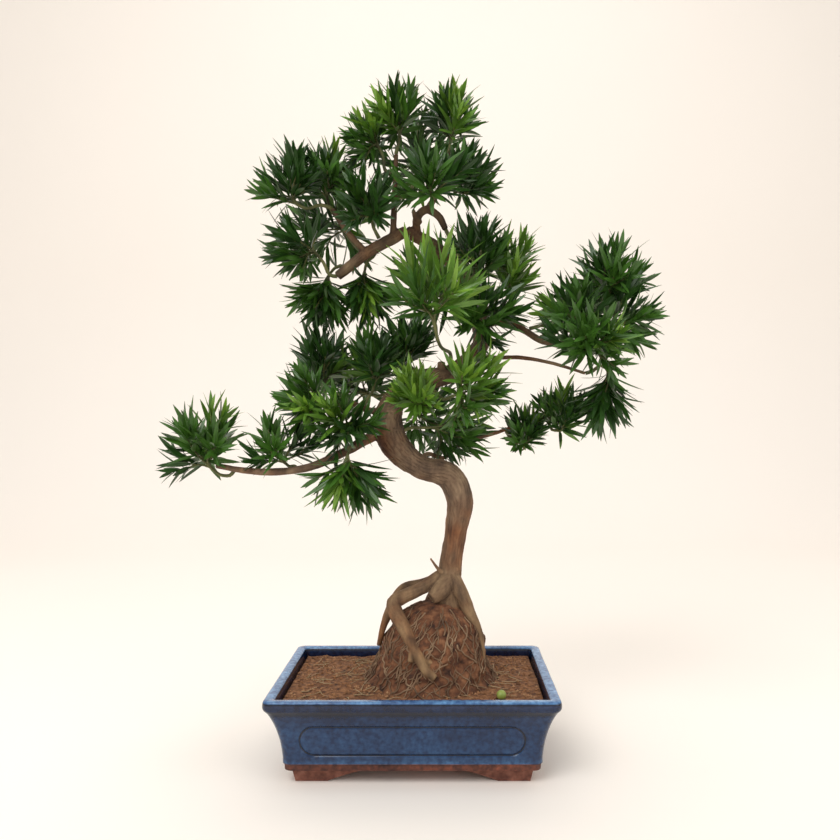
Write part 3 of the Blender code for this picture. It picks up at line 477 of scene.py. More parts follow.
def grainy_material(name):
    """One of the grainy looks, by its name."""
    *colours, scale, roughness, strength = GRAINS[name]
    material, tree, shader = new_material(name, roughness)
    stops = list(zip(GRAIN_STOPS, colours))
    tree.links.new(noise_colour(tree, stops, scale), shader.inputs["Base Color"])
    add_bump(tree, shader, scale * BUMP_FINENESS, strength, GRAIN_BUMP_HEIGHT)
    return material


def bark_material():
    """Brown bark, drawn out along the wood, with reddish streaks, greyer higher up, and painted shade in
    its fissures and hollows.
    """
    material, tree, shader = new_material("bark", roughness=0.85)
    browns = ((0.28, (0.06, 0.037, 0.024)), (0.5, (0.19, 0.12, 0.072)), (0.74, (0.33, 0.23, 0.14)))
    reds = ((0.45, (1, 1, 1)), (0.7, (1.0, 0.6, 0.38)))
    greys = ((0.0, (1.0, 0.92, 0.72)), (0.35, (1, 1, 1)), (0.6, (0.72, 0.7, 0.62)), (1.0, (0.6, 0.58, 0.5)))
    # Painted shade: the bark is darker in its fissures and other hollows
    painted_fissure_shade = ((0.44, (0.3, 0.26, 0.24)), (0.52, (1, 1, 1)))
    coloured = multiplied(tree, (
        noise_colour(tree, browns, scale=90, detail=8, stretch=(1, 1, 0.45)),
        noise_colour(tree, reds, scale=28, detail=3),
        height_ramp(tree, 0.1, 0.5, greys),
        hollow_shade(tree, painted_fissure_shade),
    ))
    tree.links.new(coloured, shader.inputs["Base Color"])
    add_bump(tree, shader, scale=420, strength=0.35, height=0.0005)
    return material


def glaze_material():
    """Mottled blue glaze on the walls and the lip, and bare clay on the base below it, with painted shade
    under the lip and in the hollows, and painted highlights on the glaze's lower edge and the lip's top.
    """
    material, tree, shader = new_material("glaze", roughness=0.18)
    pot_top = POT_HEIGHT * MM
    speckle = ((0.35, (0.45, 0.5, 0.6)), (0.55, (1, 1, 1)), (0.75, (1.7, 1.5, 1.35)))
    clouds = ((0.35, (0.6, 0.62, 0.7)), (0.65, (1.3, 1.25, 1.2)))
    # Painted shade: the glaze is darker in the grooves and other hollows
    painted_crease_shade = ((0.46, (0.2, 0.2, 0.24)), (0.495, (1, 1, 1)))
    coloured = multiplied(tree, (
        # Height bands with painted shade under the lip and painted highlights on the glaze's lower edge and
        # the lip's top
        height_ramp(tree, 0.0, pot_top, GLAZE_AND_PAINTED_LIGHT_BANDS),
        noise_colour(tree, speckle, scale=260),
        noise_colour(tree, clouds, scale=30, detail=3),
        hollow_shade(tree, painted_crease_shade),
    ))
    tree.links.new(coloured, shader.inputs["Base Color"])
    roughness_bands = ((CLAY_TOP, CLAY_ROUGHNESS), (GLAZE_BOTTOM, GLAZE_ROUGHNESS))
    tree.links.new(height_ramp(tree, 0.0, pot_top, roughness_bands), shader.inputs["Roughness"])
    return material


def leaf_material(name):
    """One green, varied a little along and between its leaves."""
    material, tree, shader = new_material(name, roughness=0.32)
    colour = TONES[name]
    dark, light = (tuple(shade * part for part in colour) for shade in LEAF_SHADES)
    stops = ((0.35, dark), (0.5, colour), (0.68, light))
    tree.links.new(noise_colour(tree, stops, scale=60, detail=3), shader.inputs["Base Color"])
    return material


def finish_piece(piece, material, nodes=()):
    """Gives a piece its look and the solids that it replaces."""
    piece.data.materials.append(material)
    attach(piece, "root")
    if nodes:
        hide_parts(*nodes)


def grainy_piece(name, parts, look, nodes=(), smooth=True):
    """A finished piece that joins several meshes, in one of the grainy looks."""
    piece = mesh_object(name, *joined_meshes(parts), smooth)
    finish_piece(piece, grainy_material(look), nodes)


# Wood

WOOD_VOXEL = 0.9
WOOD_SIDES = 20
WOOD_STEP = 3
# Short dead stubs on the wood: a cut branch on the trunk, one by the arch, and a twig at the foot
STUBS = (
    ((24, 12, 350, 4.6), (24, 7, 357, 4.4), (24, 4, 363, 4.0)),
    ((4, 0, 492, 3.4), (0, -6, 497, 2.8), (-2, -9, 503, 1.6)),
    ((27, -6, 166, 2.4), (21, -11, 172, 1.6), (14, -13, 182, 1.0)),
)
# Fissures follow the grain: fineness across it and along it
FISSURE_DEPTH = 1.1
FISSURE_FINENESS = (0.42, 0.07)
FISSURE_WIDTH = 0.42
FISSURE_STEEPNESS = 1.6
CRACK_FINENESS = (1.1, 0.22)
CRACK_SHARE = 0.35
# Fissures are shallower on thin wood, and below this height
FULL_FISSURE_RADIUS = 9
SMOOTH_HEIGHT = 255
SMOOTH_SHARE = 0.55
LUMP_DEPTH = 0.9
LUMP_FINENESS = 0.05
SMALL_LUMP_FINENESS = 0.13
SMALL_LUMP_SHARE = 0.5
FULL_LUMP_RADIUS = 8


def make_wood():
    """Trunk, roots and boughs grown into one skin, with fissures along the grain pressed in."""
    limbs = [TRUNK, *ROOTS, *(bough for carrier, bough in BOUGHS.values()), *STUBS]
    paths = [smooth_path(controls, WOOD_STEP) for controls in limbs]
    tubes = [tube_mesh(path, WOOD_SIDES) for path in paths]
    wood = mesh_object("trunk_and_boughs", *joined_meshes(tubes))
    remesh = wood.modifiers.new("skin", "REMESH")
    remesh.mode = "VOXEL"
    remesh.voxel_size = WOOD_VOXEL * MM
    evaluated = wood.evaluated_get(bpy.context.evaluated_depsgraph_get())
    skin = bpy.data.meshes.new_from_object(evaluated)
    wood.modifiers.clear()
    wood.data = skin
    press_relief(skin, grain_marks(paths))
    skin.shade_smooth()
    finish_piece(wood, bark_material(), ["trunk"] + ["bough_" + name for name in BOUGHS])


def grain_marks(paths):
    """Place, radius, direction, side and length so far, at each point of the paths."""
    marks = []
    for path in paths:
        along = 0.0
        for index, ((point, radius), (direction, side)) in enumerate(zip(path, carried_frames(path))):
            if index:
                along += (point - path[index - 1][0]).length
            marks.append((point, radius, direction, side, along))
    return marks


def grain_noise(across, along, fineness):
    """Noise that is drawn out along the grain of the wood."""
    across_fineness, along_fineness = fineness
    return noise.noise(Vector((across.x * across_fineness, across.y * across_fineness,
                               along * along_fineness)))


def press_relief(skin, marks):
    """Moves the skin in at its fissures and in or out at its lumps."""
    tree = KDTree(len(marks))
    for index, mark in enumerate(marks):
        tree.insert(mark[0], index)
    tree.balance()
    normals = [vertex.normal.copy() for vertex in skin.vertices]
    for vertex, normal in zip(skin.vertices, normals):
        spot = vertex.co / MM
        point, radius, direction, side, along = marks[tree.find(spot)[1]]
        out = spot - point
        across = Vector((out.dot(side), out.dot(direction.cross(side)), 0))
        along += out.dot(direction)
        grain = grain_noise(across, along, FISSURE_FINENESS)
        crack = grain_noise(across, along, CRACK_FINENESS)
        fissure = -max(0.0, FISSURE_WIDTH - abs(grain)) * FISSURE_STEEPNESS - CRACK_SHARE * abs(crack)
        rough = min(1.0, radius / FULL_FISSURE_RADIUS) * (SMOOTH_SHARE if spot.z < SMOOTH_HEIGHT else 1.0)
        lump = noise.noise(spot * LUMP_FINENESS)
        lump += SMALL_LUMP_SHARE * noise.noise(spot * SMALL_LUMP_FINENESS)
        depth = FISSURE_DEPTH * fissure * rough
        depth += LUMP_DEPTH * lump * min(1.0, radius / FULL_LUMP_RADIUS)
        vertex.co += normal * depth * MM


# Foliage

TONES = {
    "leaf_dark": (0.022, 0.07, 0.01), "leaf_mid": (0.045, 0.125, 0.014),
    "leaf_light": (0.09, 0.2, 0.02), "leaf_young": (0.16, 0.3, 0.03),
}
YOUNG_MASSES = ("plume", "spray", "front_right", "front_tuft")
# Limits of a random draw for the tones: of young masses first, then of all
YOUNG_UP_TO, YOUNG_LIGHT_UP_TO = 0.25, 0.6
DARK_UP_TO, MID_UP_TO = 0.42, 0.82

# Stems and shoots
STEM_STEP = 4
STEM_SIDES = 7
MORE_SHOOTS = 3
SHOOT_REACH_SPREAD = (0.8, 1.06)
SHOOT_SPANS = 8
SHOOT_RADII = (1.15, 0.7)
TWIG_SIDES = 5
# A shoot's tip heads along its own way, the mass's lean, upward and a little aside
OWN_WAY = 0.8
MORE_LEAN = 0.3
UPWARD = 0.45
ASIDE = 0.25
START_TURN_LIMIT = 6

# A sprig on the side of each shoot; its lengths are shares of a leaf's
SPRIG_PLACES = (0.35, 0.6)
SPRIG_SPREAD = 0.7
SPRIG_RISE = 0.2
SPRIG_LENGTHS = (0.45, 0.65)
# Its curve: shares of its length ahead and along the shoot
SPRIG_CURVE = ((0, 0), (0.4, 0), (0.7, 0.1), (1, 0.2))
SPRIG_SPANS = 5
SPRIG_RADII = (0.9, 0.6)
SPRIG_CLEARANCE = 0.8
SPRIG_LEAF_SHARE = 0.85

# Leaves on a twig from its tip back, the first ones shorter and more upright
LEAVES_ON_SHOOT = 14
LEAVES_ON_SPRIG = 9
YOUNG_LEAVES = 3
FINE_OPENING = (radians(12), radians(56))
OPENING_SPREAD = 0.15
FIRST_LENGTH = 0.62
LENGTH_GROWTH = 0.38
GROWTH_RATE = 4
GROWTH_START = 0.1
LEAF_LENGTH_SPREAD = (0.78, 1.14)
# A leaf that would pass this share of the reach is shortened, but not below this share
REACH_LIMIT = 1.1
SHORTENED_LIMIT = 0.55
LEAF_TEST_PLACES = (0.6, 1)
LEAF_CLEARANCE = 0.3

# A leaf's blade
LEAF_WIDTH = 5.2
SHORT_LEAF_WIDTH = 0.55
FULL_WIDTH_GROWTH = 80
BLADE_STEPS = 6
BLADE_POINTS = 5
WIDEST_PLACE_POWER = 0.8
FULLNESS_POWER = 0.7
TIP_WIDTH = 0.06
FOLD = 0.22
RIB_SHARE = 0.16
RIB_RISE = 0.8
DROOP = 0.1


def blade_mesh(root, direction, normal, length):
    """A narrow pointed leaf, folded a little along a raised midrib and bent back to its tip."""
    edge = direction.cross(normal).normalized()
    half = LEAF_WIDTH / 2 * min(1.0, SHORT_LEAF_WIDTH + length / FULL_WIDTH_GROWTH)
    vertices, faces = [], []
    for step in range(BLADE_STEPS + 1):
        share = step / BLADE_STEPS
        centre = root + direction * length * share - normal * DROOP * length * share * share
        swell = 0.0
        if share < 1:
            swell = sin(pi * share ** WIDEST_PLACE_POWER) ** FULLNESS_POWER
        wide = half * max(TIP_WIDTH, swell)
        rib = min(wide, half * RIB_SHARE)
        rise = normal * wide * FOLD
        vertices += [
            centre - edge * wide + rise, centre - edge * rib, centre + normal * rib * RIB_RISE,
            centre + edge * rib, centre + edge * wide + rise,
        ]
    for step in range(BLADE_STEPS):
        for strip in range(BLADE_POINTS - 1):
            low = step * BLADE_POINTS + strip
            faces.append((low, low + 1, low + BLADE_POINTS + 1, low + BLADE_POINTS))
    return vertices, faces


class Foliage:
    """The solids' rule carried on: more shoots in each mass, side twigs, and life-size leaves."""

    def __init__(self, limbs):
        self.limbs = limbs
        self.limb_beads = np.concatenate([beads(path) for path in limbs.values()])
        self.stems = {name: self.stem_of(name) for name in MASSES}
        self.stem_beads = {name: beads(stem) for name, stem in self.stems.items()}
        self.leaves = {tone: [] for tone in TONES}
        self.twigs = []

    def stem_of(self, name):
        """A stem from a seat gap off the limb to the heart of the mass, where shoots part."""
        carrier, place, centre, reach, lean, _, _ = MASSES[name]
        centre, reach, lean = Vector(centre), Vector(reach), Vector(lean).normalized()
        heart = centre - lean * reach * HEART_DEPTH
        position, direction, radius = point_on_path(self.limbs[carrier], place)
        if place == 1:
            out = direction
            start = position + out * SEAT_GAP
        else:
            towards = heart - position
            out = (towards - direction * towards.dot(direction)).normalized()
            start = position + out * (radius + SEAT_GAP)
        pull = (heart - start).length * CURVE_PULL
        points = bezier(start, start + out * pull, heart - lean * pull, heart, STEM_SPANS)
        return with_radii(points, STEM_RADII)

    def clears_wood(self, name, points, clearance):
        """True where every point is clear of the limbs and of the other masses' stems."""
        points = np.array([tuple(point) for point in points])
        wood = [self.limb_beads]
        wood += [stem for other, stem in self.stem_beads.items() if other != name]
        wood = np.concatenate(wood)
        distance = np.linalg.norm(points[:, None] - wood[:, :3], axis=2)
        return bool(np.all(distance > wood[:, 3] + clearance))

    def grow(self, name):
        """The stem of a mass and the shoots that fan out from it."""
        _, _, centre, reach, lean, count, length = MASSES[name]
        centre, reach, lean = Vector(centre), Vector(reach), Vector(lean).normalized()
        luck = random.Random(name + " fine")
        stem = self.stems[name]
        smooth_stem = smooth_path([(*point, radius) for point, radius in stem], STEM_STEP)
        self.twigs.append(tube_mesh(smooth_stem, STEM_SIDES))
        count += MORE_SHOOTS
        ways = fan_of_directions(lean, count, luck.uniform(0, START_TURN_LIMIT))
        for index, way in enumerate(ways):
            place = SHOOT_STARTS[0] + (SHOOT_STARTS[1] - SHOOT_STARTS[0]) * (index + 1) / count
            start, along, _ = point_on_path(stem, place)
            end = centre + way * reach * SHOOT_REACH * luck.uniform(*SHOOT_REACH_SPREAD)
            heading = way * OWN_WAY + lean * (LEAN_OF_TIPS + MORE_LEAN) + UP * UPWARD
            heading += any_side(lean) * luck.uniform(-ASIDE, ASIDE)
            heading = heading.normalized()
            leafy_end = min(TIP_LEAF_SHARE * length, TIP_LEAF_LIMIT * (end - start).length)
            tip = end - heading * leafy_end
            pull = (tip - start).length * CURVE_PULL
            points = bezier(start, start + along * pull, tip - heading * pull, tip, SHOOT_SPANS)
            shoot = with_radii(points, SHOOT_RADII)
            self.twigs.append(tube_mesh(shoot, TWIG_SIDES))
            tone = self.tone_of(name, luck)
            self.add_leaves(name, shoot, length, LEAVES_ON_SHOOT, tone, luck)
            self.add_sprig(name, shoot, length, tone, luck)

    def add_sprig(self, name, shoot, length, tone, luck):
        """A short leafy sprig on the side of a shoot, where there is room for it."""
        start, axis, _ = point_on_path(shoot, luck.uniform(*SPRIG_PLACES))
        across = around(axis, any_side(axis), luck.uniform(0, 2 * pi))
        heading = (axis + across * SPRIG_SPREAD + UP * SPRIG_RISE).normalized()
        span = length * luck.uniform(*SPRIG_LENGTHS)
        controls = [start + heading * span * forward + axis * span * onward
                    for forward, onward in SPRIG_CURVE]
        points = bezier(*controls, SPRIG_SPANS)
        beyond_shoot = points[2:]
        if not self.clears_wood(name, beyond_shoot, SPRIG_CLEARANCE):
            return
        twig = with_radii(points, SPRIG_RADII)
        self.twigs.append(tube_mesh(twig, TWIG_SIDES))
        self.add_leaves(name, twig, length * SPRIG_LEAF_SHARE, LEAVES_ON_SPRIG, tone, luck)

    def add_leaves(self, name, twig, length, count, tone, luck):
        """Leaves in a spiral from the twig's tip back, left out where they would meet wood."""
        centre, reach = Vector(MASSES[name][2]), Vector(MASSES[name][3])
        frames = carried_frames(twig)
        turn = luck.uniform(0, START_TURN_LIMIT)
        for index in range(count):
            share = index / count
            place = 1 - LEAFY_SHARE * share
            start, axis, _ = point_on_path(twig, place)
            opening = FINE_OPENING[0] + (FINE_OPENING[1] - FINE_OPENING[0]) * share ** OPENING_GROWTH
            opening += luck.uniform(-OPENING_SPREAD, OPENING_SPREAD)
            side = frames[int(place * (len(twig) - 1))][1]
            across = around(axis, side, turn + index * GOLDEN_ANGLE)
            across = (across - axis * across.dot(axis)).normalized()
            direction = axis * cos(opening) + across * sin(opening)
            growth = min(1.0, share * GROWTH_RATE + GROWTH_START)
            own_length = length * (FIRST_LENGTH + LENGTH_GROWTH * growth)
            own_length *= luck.uniform(*LEAF_LENGTH_SPREAD)
            off = start + direction * own_length - centre
            outside = Vector((off.x / reach.x, off.y / reach.y, off.z / reach.z)).length
            if outside > REACH_LIMIT:
                own_length *= max(SHORTENED_LIMIT, REACH_LIMIT / outside)
            outer_points = [start + direction * own_length * spot for spot in LEAF_TEST_PLACES]
            if not self.clears_wood(name, outer_points, LEAF_CLEARANCE):
                continue
            normal = (axis - direction * axis.dot(direction)).normalized()
            young = index < YOUNG_LEAVES and tone in ("leaf_light", "leaf_young")
            own_tone = "leaf_young" if young else tone
            self.leaves[own_tone].append(blade_mesh(start, direction, normal, own_length))

    def tone_of(self, name, luck):
        """The tone of a shoot's leaves; the young masses have more light ones."""
        draw = luck.random()
        if name in YOUNG_MASSES and draw < YOUNG_LIGHT_UP_TO:
            return "leaf_young" if draw < YOUNG_UP_TO else "leaf_light"
        if draw < DARK_UP_TO:
            return "leaf_dark"
        return "leaf_mid" if draw < MID_UP_TO else "leaf_light"


def make_crown():
    """All twigs as one piece, and the leaves as one piece for each tone."""
    limbs = {"trunk": smooth_path(TRUNK, TRUNK_STEP)}
    for name, (carrier, controls) in BOUGHS.items():
        limbs[name] = smooth_path(controls, BOUGH_STEP)
    foliage = Foliage(limbs)
    for name in MASSES:
        foliage.grow(name)
    nodes = ["foliage_" + name for name in MASSES]
    grainy_piece("twigs", foliage.twigs, "twig_bark", nodes)
    for tone, blades in foliage.leaves.items():
        piece = mesh_object(tone, *joined_meshes(blades))
        finish_piece(piece, leaf_material(tone))


# Pot

# A groove round a long panel with round ends on each wall
PANEL_CENTRE_Z = 38.5
PANEL_HALF_HEIGHT = 12.7
PANEL_HALF_LENGTHS = (95, 60)
GROOVE_WIDTH = 1.1
GROOVE_DEPTH = 1.5
# Unevenness of the walls, outside the corners
WAVE_FINENESS = 0.03
WAVE_DEPTH = 0.35
CORNER_ZONE = 22
CORNERS = ((1, 1), (-1, 1), (-1, -1), (1, -1))
CORNER_STEPS = 8
POT_POINT_STEP = 0.9
INSIDE_STEP = 2
INSIDE_CORNER_RADIUS = POT_CORNER_RADIUS - 3


def fine_outline(inset, radius, z):
    """A round-cornered rectangle of evenly spaced points, the same number for every inset."""
    half_x, half_y = POT_WIDTH / 2 - inset, POT_DEPTH / 2 - inset

    def corner_point(corner, angle):
        sign_x, sign_y = CORNERS[corner % len(CORNERS)]
        return Vector((sign_x * (half_x - radius) + radius * cos(angle),
                       sign_y * (half_y - radius) + radius * sin(angle), z))

    points = []
    for corner in range(len(CORNERS)):
        for step in range(CORNER_STEPS):
            points.append(corner_point(corner, pi / 2 * (corner + step / CORNER_STEPS)))
        wall_length = POT_WIDTH if corner % 2 == 0 else POT_DEPTH
        count = round(wall_length / POT_POINT_STEP)
        angle = pi / 2 * (corner + 1)
        start, end = corner_point(corner, angle), corner_point(corner + 1, angle)
        points += [start.lerp(end, step / count) for step in range(count)]
    return points


def panel_groove(point, half_length, sideways):
    """Depth of the groove round the panel on one wall of the pot."""
    along = max(0.0, abs(sideways) - (half_length - PANEL_HALF_HEIGHT))
    distance = abs(hypot(along, point.z - PANEL_CENTRE_Z) - PANEL_HALF_HEIGHT)
    return GROOVE_DEPTH * exp(-(distance / GROOVE_WIDTH) ** 2)


def press_walls(ring):
    """Moves the points of one level of the walls in at the grooves and by their unevenness."""
    for point in ring:
        wave = noise.noise(point * WAVE_FINENESS) * WAVE_DEPTH
        if abs(point.x) < POT_WIDTH / 2 - CORNER_ZONE:
            wave -= panel_groove(point, PANEL_HALF_LENGTHS[0], point.x)
            point.y += wave * copysign(1, point.y)
        elif abs(point.y) < POT_DEPTH / 2 - CORNER_ZONE:
            wave -= panel_groove(point, PANEL_HALF_LENGTHS[1], point.y)
            point.x += wave * copysign(1, point.x)


def fine_profile(profile, step):
    """The inset and height pairs with more pairs between them, along a smooth curve."""
    path = smooth_path([(inset, 0, z, 1) for inset, z in profile], step)
    return [(point.x, point.z) for point, radius in path]


def make_pot():
    """The glazed pot in one piece, and bare clay on the feet, whose solids stay in place."""
    base, wall = POT_OUTSIDE[:2], POT_OUTSIDE[2:]
    upper_inside, lower_inside = POT_INSIDE[:3], POT_INSIDE[3:]
    rings = []
    for inset, z in [*base, *fine_profile(wall, POT_POINT_STEP)]:
        ring = fine_outline(inset, POT_CORNER_RADIUS, z)
        press_walls(ring)
        rings.append(ring)
    for inset, z in [*fine_profile(upper_inside, INSIDE_STEP), *lower_inside]:
        rings.append(fine_outline(inset, INSIDE_CORNER_RADIUS, z))
    pot = mesh_object("pot_glazed", *loft_mesh(rings))
    finish_piece(pot, glaze_material(), ["pot"])
    clay = grainy_material("clay")
    for side in ("front_left", "front_right", "back_left", "back_right"):
        foot_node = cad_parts["pot_foot_" + side]
        foot_node.data.materials.clear()
        foot_node.data.materials.append(clay)


# Earth and roots

SOIL_INSET = POT_INSIDE[2][0] + 0.5
SOIL_HALF_X, SOIL_HALF_Y = POT_WIDTH / 2 - SOIL_INSET, POT_DEPTH / 2 - SOIL_INSET
SOIL_STEP = 1.4
SOIL_EDGE_DEPTH = 6
SOIL_DROP = 0.5
MOUND_RISE = 5.0
MOUND_HALF_X, MOUND_HALF_Y = 118, 84
MOUND_POWER = 1.6
# Unevenness of the soil, from coarse to fine: fineness and height
SOIL_BUMPS = ((0.08, 1.2), (0.35, 0.7), (0.9, 0.4))

CRUMB_COUNT = 1500
CRUMB_MARGIN = 3
CRUMB_SIZES = (0.6, 2.0)
CRUMB_LIFT = 0.3
CRUMB_ROUGHNESS = (0.5, 1.0)
CRUMB_CORNERS = ((1, 0, 0), (0, 1, 0), (-1, 0, 0), (0, -1, 0), (0, 0, 1), (0, 0, -1))

FIBRE_COUNT = 130
FIBRE_MARGIN = 14
FIBRE_LENGTHS = (6, 20)
FIBRE_SPANS = 5
FIBRE_WAVE_DEPTH = 2
FIBRE_WAVE_TURN = 3
FIBRE_LIFT = 1.0
FIBRE_LIFT_SPREAD = 0.7
FIBRE_RADII = (0.35, 0.22)
FIBRE_SIDES = 4

# The ball's surface: lumps from coarse to fine, and hollows
BALL_LUMPS = ((2.2, 3.0), (7, 1.5), (22, 1.0))
BALL_NOISE_RISE = 0.03
HOLLOW_FINENESS = 4.5
HOLLOW_SHIFT = Vector((5, 0, 0))
HOLLOW_THRESHOLD = 0.25
HOLLOW_DEPTH = 4.0
BALL_DROP = 0.6
BALL_LEVEL_STEP = 1.1
BALL_SIDES = 260
BALL_SINK = 1

ROOTLET_COUNT = 230
ROOTLET_LOWEST_START = 6
ROOTLET_DRIFT = 0.05
ROOTLET_RADII = (0.3, 0.35, 0.45, 0.6, 0.8)
ROOTLET_POINTS = (6, 16)
ROOTLET_DROPS = (0.5, 4.0)
ROOTLET_LIFT = 0.6
ROOTLET_RADIUS_LIFT = 0.4
ROOTLET_END = -1
ROOTLET_STEP = 2
ROOTLET_SIDES = 5

FRUIT_PLACE = (76, -60)
FRUIT_RADIUS = 4.2
FRUIT_LIFT = 0.8
FRUIT_LEVELS = 12
FRUIT_SIDES = 20


def soil_height(x, y):
    """Height of the soil's uneven mound at a place."""
    distance = hypot((x - ROOT_BALL_FOOT.x) / MOUND_HALF_X, (y - ROOT_BALL_FOOT.y) / MOUND_HALF_Y)
    height = SOIL_TOP - SOIL_DROP + MOUND_RISE * max(0.0, 1 - distance ** MOUND_POWER)
    spot = Vector((x, y, 0))
    for fineness, rise in SOIL_BUMPS:
        height += noise.noise(spot * fineness) * rise
    return height


def make_soil():
    """A grainy mound with its edge turned down along the pot's walls, with crumbs and fibres."""
    columns, rows = round(2 * SOIL_HALF_X / SOIL_STEP), round(2 * SOIL_HALF_Y / SOIL_STEP)
    vertices, faces = [], []
    for row in range(rows + 1):
        for column in range(columns + 1):
            x = -SOIL_HALF_X + 2 * SOIL_HALF_X * column / columns
            y = -SOIL_HALF_Y + 2 * SOIL_HALF_Y * row / rows
            edge = column in (0, columns) or row in (0, rows)
            vertices.append(Vector((x, y, SOIL_TOP - SOIL_EDGE_DEPTH if edge else soil_height(x, y))))
    for row in range(rows):
        for column in range(columns):
            low = row * (columns + 1) + column
            faces.append((low, low + 1, low + columns + 2, low + columns + 1))
    grainy_piece("soil_surface", [(vertices, faces)], "soil_grains", ["soil"])
    luck = random.Random("crumbs")
    crumbs = [crumb_mesh(luck) for _ in range(CRUMB_COUNT)]
    grainy_piece("soil_crumbs", crumbs, "crumbs", smooth=False)
    fibres = [fibre_mesh(luck) for _ in range(FIBRE_COUNT)]
    grainy_piece("soil_fibres", fibres, "straw")


def place_on_soil(luck, margin):
    """A random place on the soil, this far from its edge."""
    x = luck.uniform(-SOIL_HALF_X + margin, SOIL_HALF_X - margin)
    y = luck.uniform(-SOIL_HALF_Y + margin, SOIL_HALF_Y - margin)
    return x, y


def crumb_mesh(luck):
    """A rough eight-sided grain that lies loose on the soil."""
    x, y = place_on_soil(luck, CRUMB_MARGIN)
    size = luck.uniform(*CRUMB_SIZES)
    centre = Vector((x, y, soil_height(x, y) + size * CRUMB_LIFT))
    vertices = []
    for axis in CRUMB_CORNERS:
        vertices.append(centre + Vector(axis) * size * luck.uniform(*CRUMB_ROUGHNESS))
    faces = []
    for side in range(4):
        faces.append((side, (side + 1) % 4, 4))
        faces.append(((side + 1) % 4, side, 5))
    return vertices, faces


def fibre_mesh(luck):
    """A thin dead root or needle that lies on the soil in a shallow wave."""
    x, y = place_on_soil(luck, FIBRE_MARGIN)
    way = luck.uniform(0, 2 * pi)
    length = luck.uniform(*FIBRE_LENGTHS)
    points = []
    for index in range(FIBRE_SPANS + 1):
        share = index / FIBRE_SPANS - 0.5
        wave = FIBRE_WAVE_DEPTH * sin(FIBRE_WAVE_TURN * share + way)
        point_x = x + cos(way) * length * share
        point_y = y + sin(way) * length * share + wave
        height = soil_height(point_x, point_y) + FIBRE_LIFT + luck.uniform(0, FIBRE_LIFT_SPREAD)
        points.append(Vector((point_x, point_y, height)))
    return tube_mesh(with_radii(points, FIBRE_RADII), FIBRE_SIDES)


def ball_point(angle, height, out=0.0):
    """A point of the root ball's rough surface at an angle and a height above the soil."""
    heights = [level for _, level in ROOT_BALL_PROFILE]
    radii = [radius for radius, _ in ROOT_BALL_PROFILE]
    radius = float(np.interp(height, heights, radii))
    spot = Vector((cos(angle), sin(angle), height * BALL_NOISE_RISE))
    rough = sum(noise.noise(spot * fineness) * depth for fineness, depth in BALL_LUMPS)
    hollow = max(0.0, noise.noise(spot * HOLLOW_FINENESS + HOLLOW_SHIFT) - HOLLOW_THRESHOLD)
    rough -= HOLLOW_DEPTH * hollow
    radius += rough - BALL_DROP + out
    return Vector((ROOT_BALL_FOOT.x + ROOT_BALL_LEAN * height + radius * cos(angle),
                   ROOT_BALL_FOOT.y + radius * ROOT_BALL_DEPTH_SHARE * sin(angle),
                   SOIL_TOP + height))


def make_root_ball():
    """The bound earth under the trunk, and the fine roots over it."""
    top = ROOT_BALL_PROFILE[-1][1]
    angles = [2 * pi * side / BALL_SIDES for side in range(BALL_SIDES)]
    heights = [level * BALL_LEVEL_STEP for level in range(int(top / BALL_LEVEL_STEP) + 1)]
    heights[0] -= BALL_SINK
    rings = [[ball_point(angle, height) for angle in angles] for height in heights]
    grainy_piece("root_ball_earth", [loft_mesh(rings)], "ball_earth", ["root_ball"])
    luck = random.Random("fine roots")
    roots = [fine_root_mesh(luck) for _ in range(ROOTLET_COUNT)]
    grainy_piece("fine_roots", roots, "fine_root")


def fine_root_mesh(luck):
    """A thin root that runs down over the ball from a random place, to the soil at most."""
    angle = luck.uniform(0, 2 * pi)
    height = luck.uniform(ROOTLET_LOWEST_START, ROOT_BALL_PROFILE[-1][1])
    drift = luck.uniform(-ROOTLET_DRIFT, ROOTLET_DRIFT)
    radius = luck.choice(ROOTLET_RADII)
    points = []
    for _ in range(luck.randint(*ROOTLET_POINTS)):
        points.append(ball_point(angle, max(0.0, height), ROOTLET_LIFT + radius * ROOTLET_RADIUS_LIFT))
        angle += drift + luck.uniform(-ROOTLET_DRIFT, ROOTLET_DRIFT)
        height -= luck.uniform(*ROOTLET_DROPS)
        if height < ROOTLET_END:
            break
    if len(points) < 3:
        return [], []
    path = smooth_path([(*point, radius) for point in points], ROOTLET_STEP)
    return tube_mesh(path, ROOTLET_SIDES)


def make_fruit():
    """The small green fruit that has fallen on the soil."""
    centre = Vector((*FRUIT_PLACE, soil_height(*FRUIT_PLACE) + FRUIT_RADIUS * FRUIT_LIFT))
    rings = []
    for level in range(1, FRUIT_LEVELS):
        tilt = pi * level / FRUIT_LEVELS
        ring = []
        for side in range(FRUIT_SIDES):
            turn = 2 * pi * side / FRUIT_SIDES
            outward = Vector((sin(tilt) * cos(turn), sin(tilt) * sin(turn),
                              cos(tilt)))
            ring.append(centre + FRUIT_RADIUS * outward)
        rings.append(ring)
    grainy_piece("fruit", [loft_mesh(rings)], "fruit_skin")


# Room, light and camera, in metres

ROOM_HALF_WIDTH = 4
FLOOR_FRONT, FLOOR_BACK = -3, 1.2
BEND_RADIUS = 0.8
BEND_STEPS = 18
WALL_TOP = 4.0
PAPER_COLOURS = ((0.3, (0.93, 0.875, 0.815)), (0.7, (0.94, 0.885, 0.825)))
ROOM_COLOUR = (1.0, 0.96, 0.91)
ROOM_BRIGHTNESS = 0.62
# Lamps: name, place, size and power in watts; all aim at the plant's middle
LAMPS = (
    ("key", (-0.9, -1.5, 1.9), 1.4, 30),
    ("fill", (1.6, -1.2, 1.0), 1.6, 9),
    ("wall_light", (0.0, 0.6, 2.6), 2.0, 21),
)
LAMP_AIM = Vector((0, 0, 0.3))
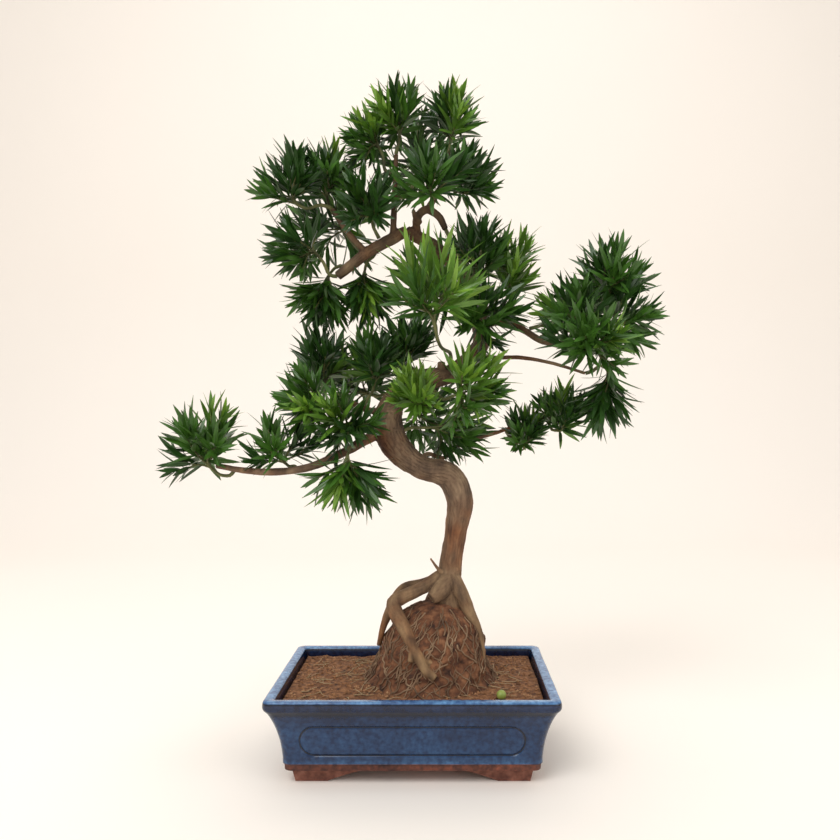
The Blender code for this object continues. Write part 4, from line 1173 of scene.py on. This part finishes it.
# Lens and sensor are in millimetres, the shifts are shares of the picture
CAMERA_PLACE = (0.0266, -0.78, 0.306)
CAMERA_LENS = 35.83
CAMERA_SENSOR = 36
CAMERA_SHIFT = (-0.0286, 0.0036)


def make_stage():
    """A pale sheet that bends up from floor to wall, an even room light and three lamps."""
    profile = [(FLOOR_FRONT, 0.0), (FLOOR_BACK, 0.0)]
    for step in range(1, BEND_STEPS + 1):
        angle = radians(90 * step / BEND_STEPS)
        along, up = BEND_RADIUS * sin(angle), BEND_RADIUS * cos(angle)
        profile.append((FLOOR_BACK + along, BEND_RADIUS - up))
    profile.append((FLOOR_BACK + BEND_RADIUS, WALL_TOP))
    points, faces = [], []
    for y, z in profile:
        points += [Vector((side * ROOM_HALF_WIDTH, y, z)) / MM for side in (-1, 1)]
    for index in range(len(profile) - 1):
        low = 2 * index
        faces.append((low, low + 1, low + 3, low + 2))
    floor = mesh_object("floor", points, faces)
    material, tree, shader = new_material("plain_paper", roughness=0.9)
    paper = noise_colour(tree, PAPER_COLOURS, scale=2, detail=2)
    tree.links.new(paper, shader.inputs["Base Color"])
    floor.data.materials.append(material)
    world = bpy.data.worlds.new("soft_room")
    world.use_nodes = True
    background = world.node_tree.nodes["Background"]
    background.inputs["Color"].default_value = (*ROOM_COLOUR, 1)
    background.inputs["Strength"].default_value = ROOM_BRIGHTNESS
    bpy.context.scene.world = world
    for name, place, size, power in LAMPS:
        lamp = bpy.data.lights.new(name, "AREA")
        lamp.size = size
        lamp.energy = power
        thing = add_object(name, lamp)
        thing.location = place
        thing.rotation_euler = (LAMP_AIM - Vector(place)).to_track_quat("-Z", "Y").to_euler()


def make_camera():
    """The photograph's level view from the front."""
    data = bpy.data.cameras.new("camera")
    data.lens = CAMERA_LENS
    data.sensor_width = CAMERA_SENSOR
    data.shift_x, data.shift_y = CAMERA_SHIFT
    camera = add_object("camera", data)
    camera.location = CAMERA_PLACE
    camera.rotation_euler = (pi / 2, 0, 0)
    bpy.context.scene.camera = camera
    bpy.context.scene.view_settings.view_transform = "Standard"


make_wood()
make_crown()
make_pot()
make_soil()
make_root_ball()
make_fruit()
make_stage()
make_camera()
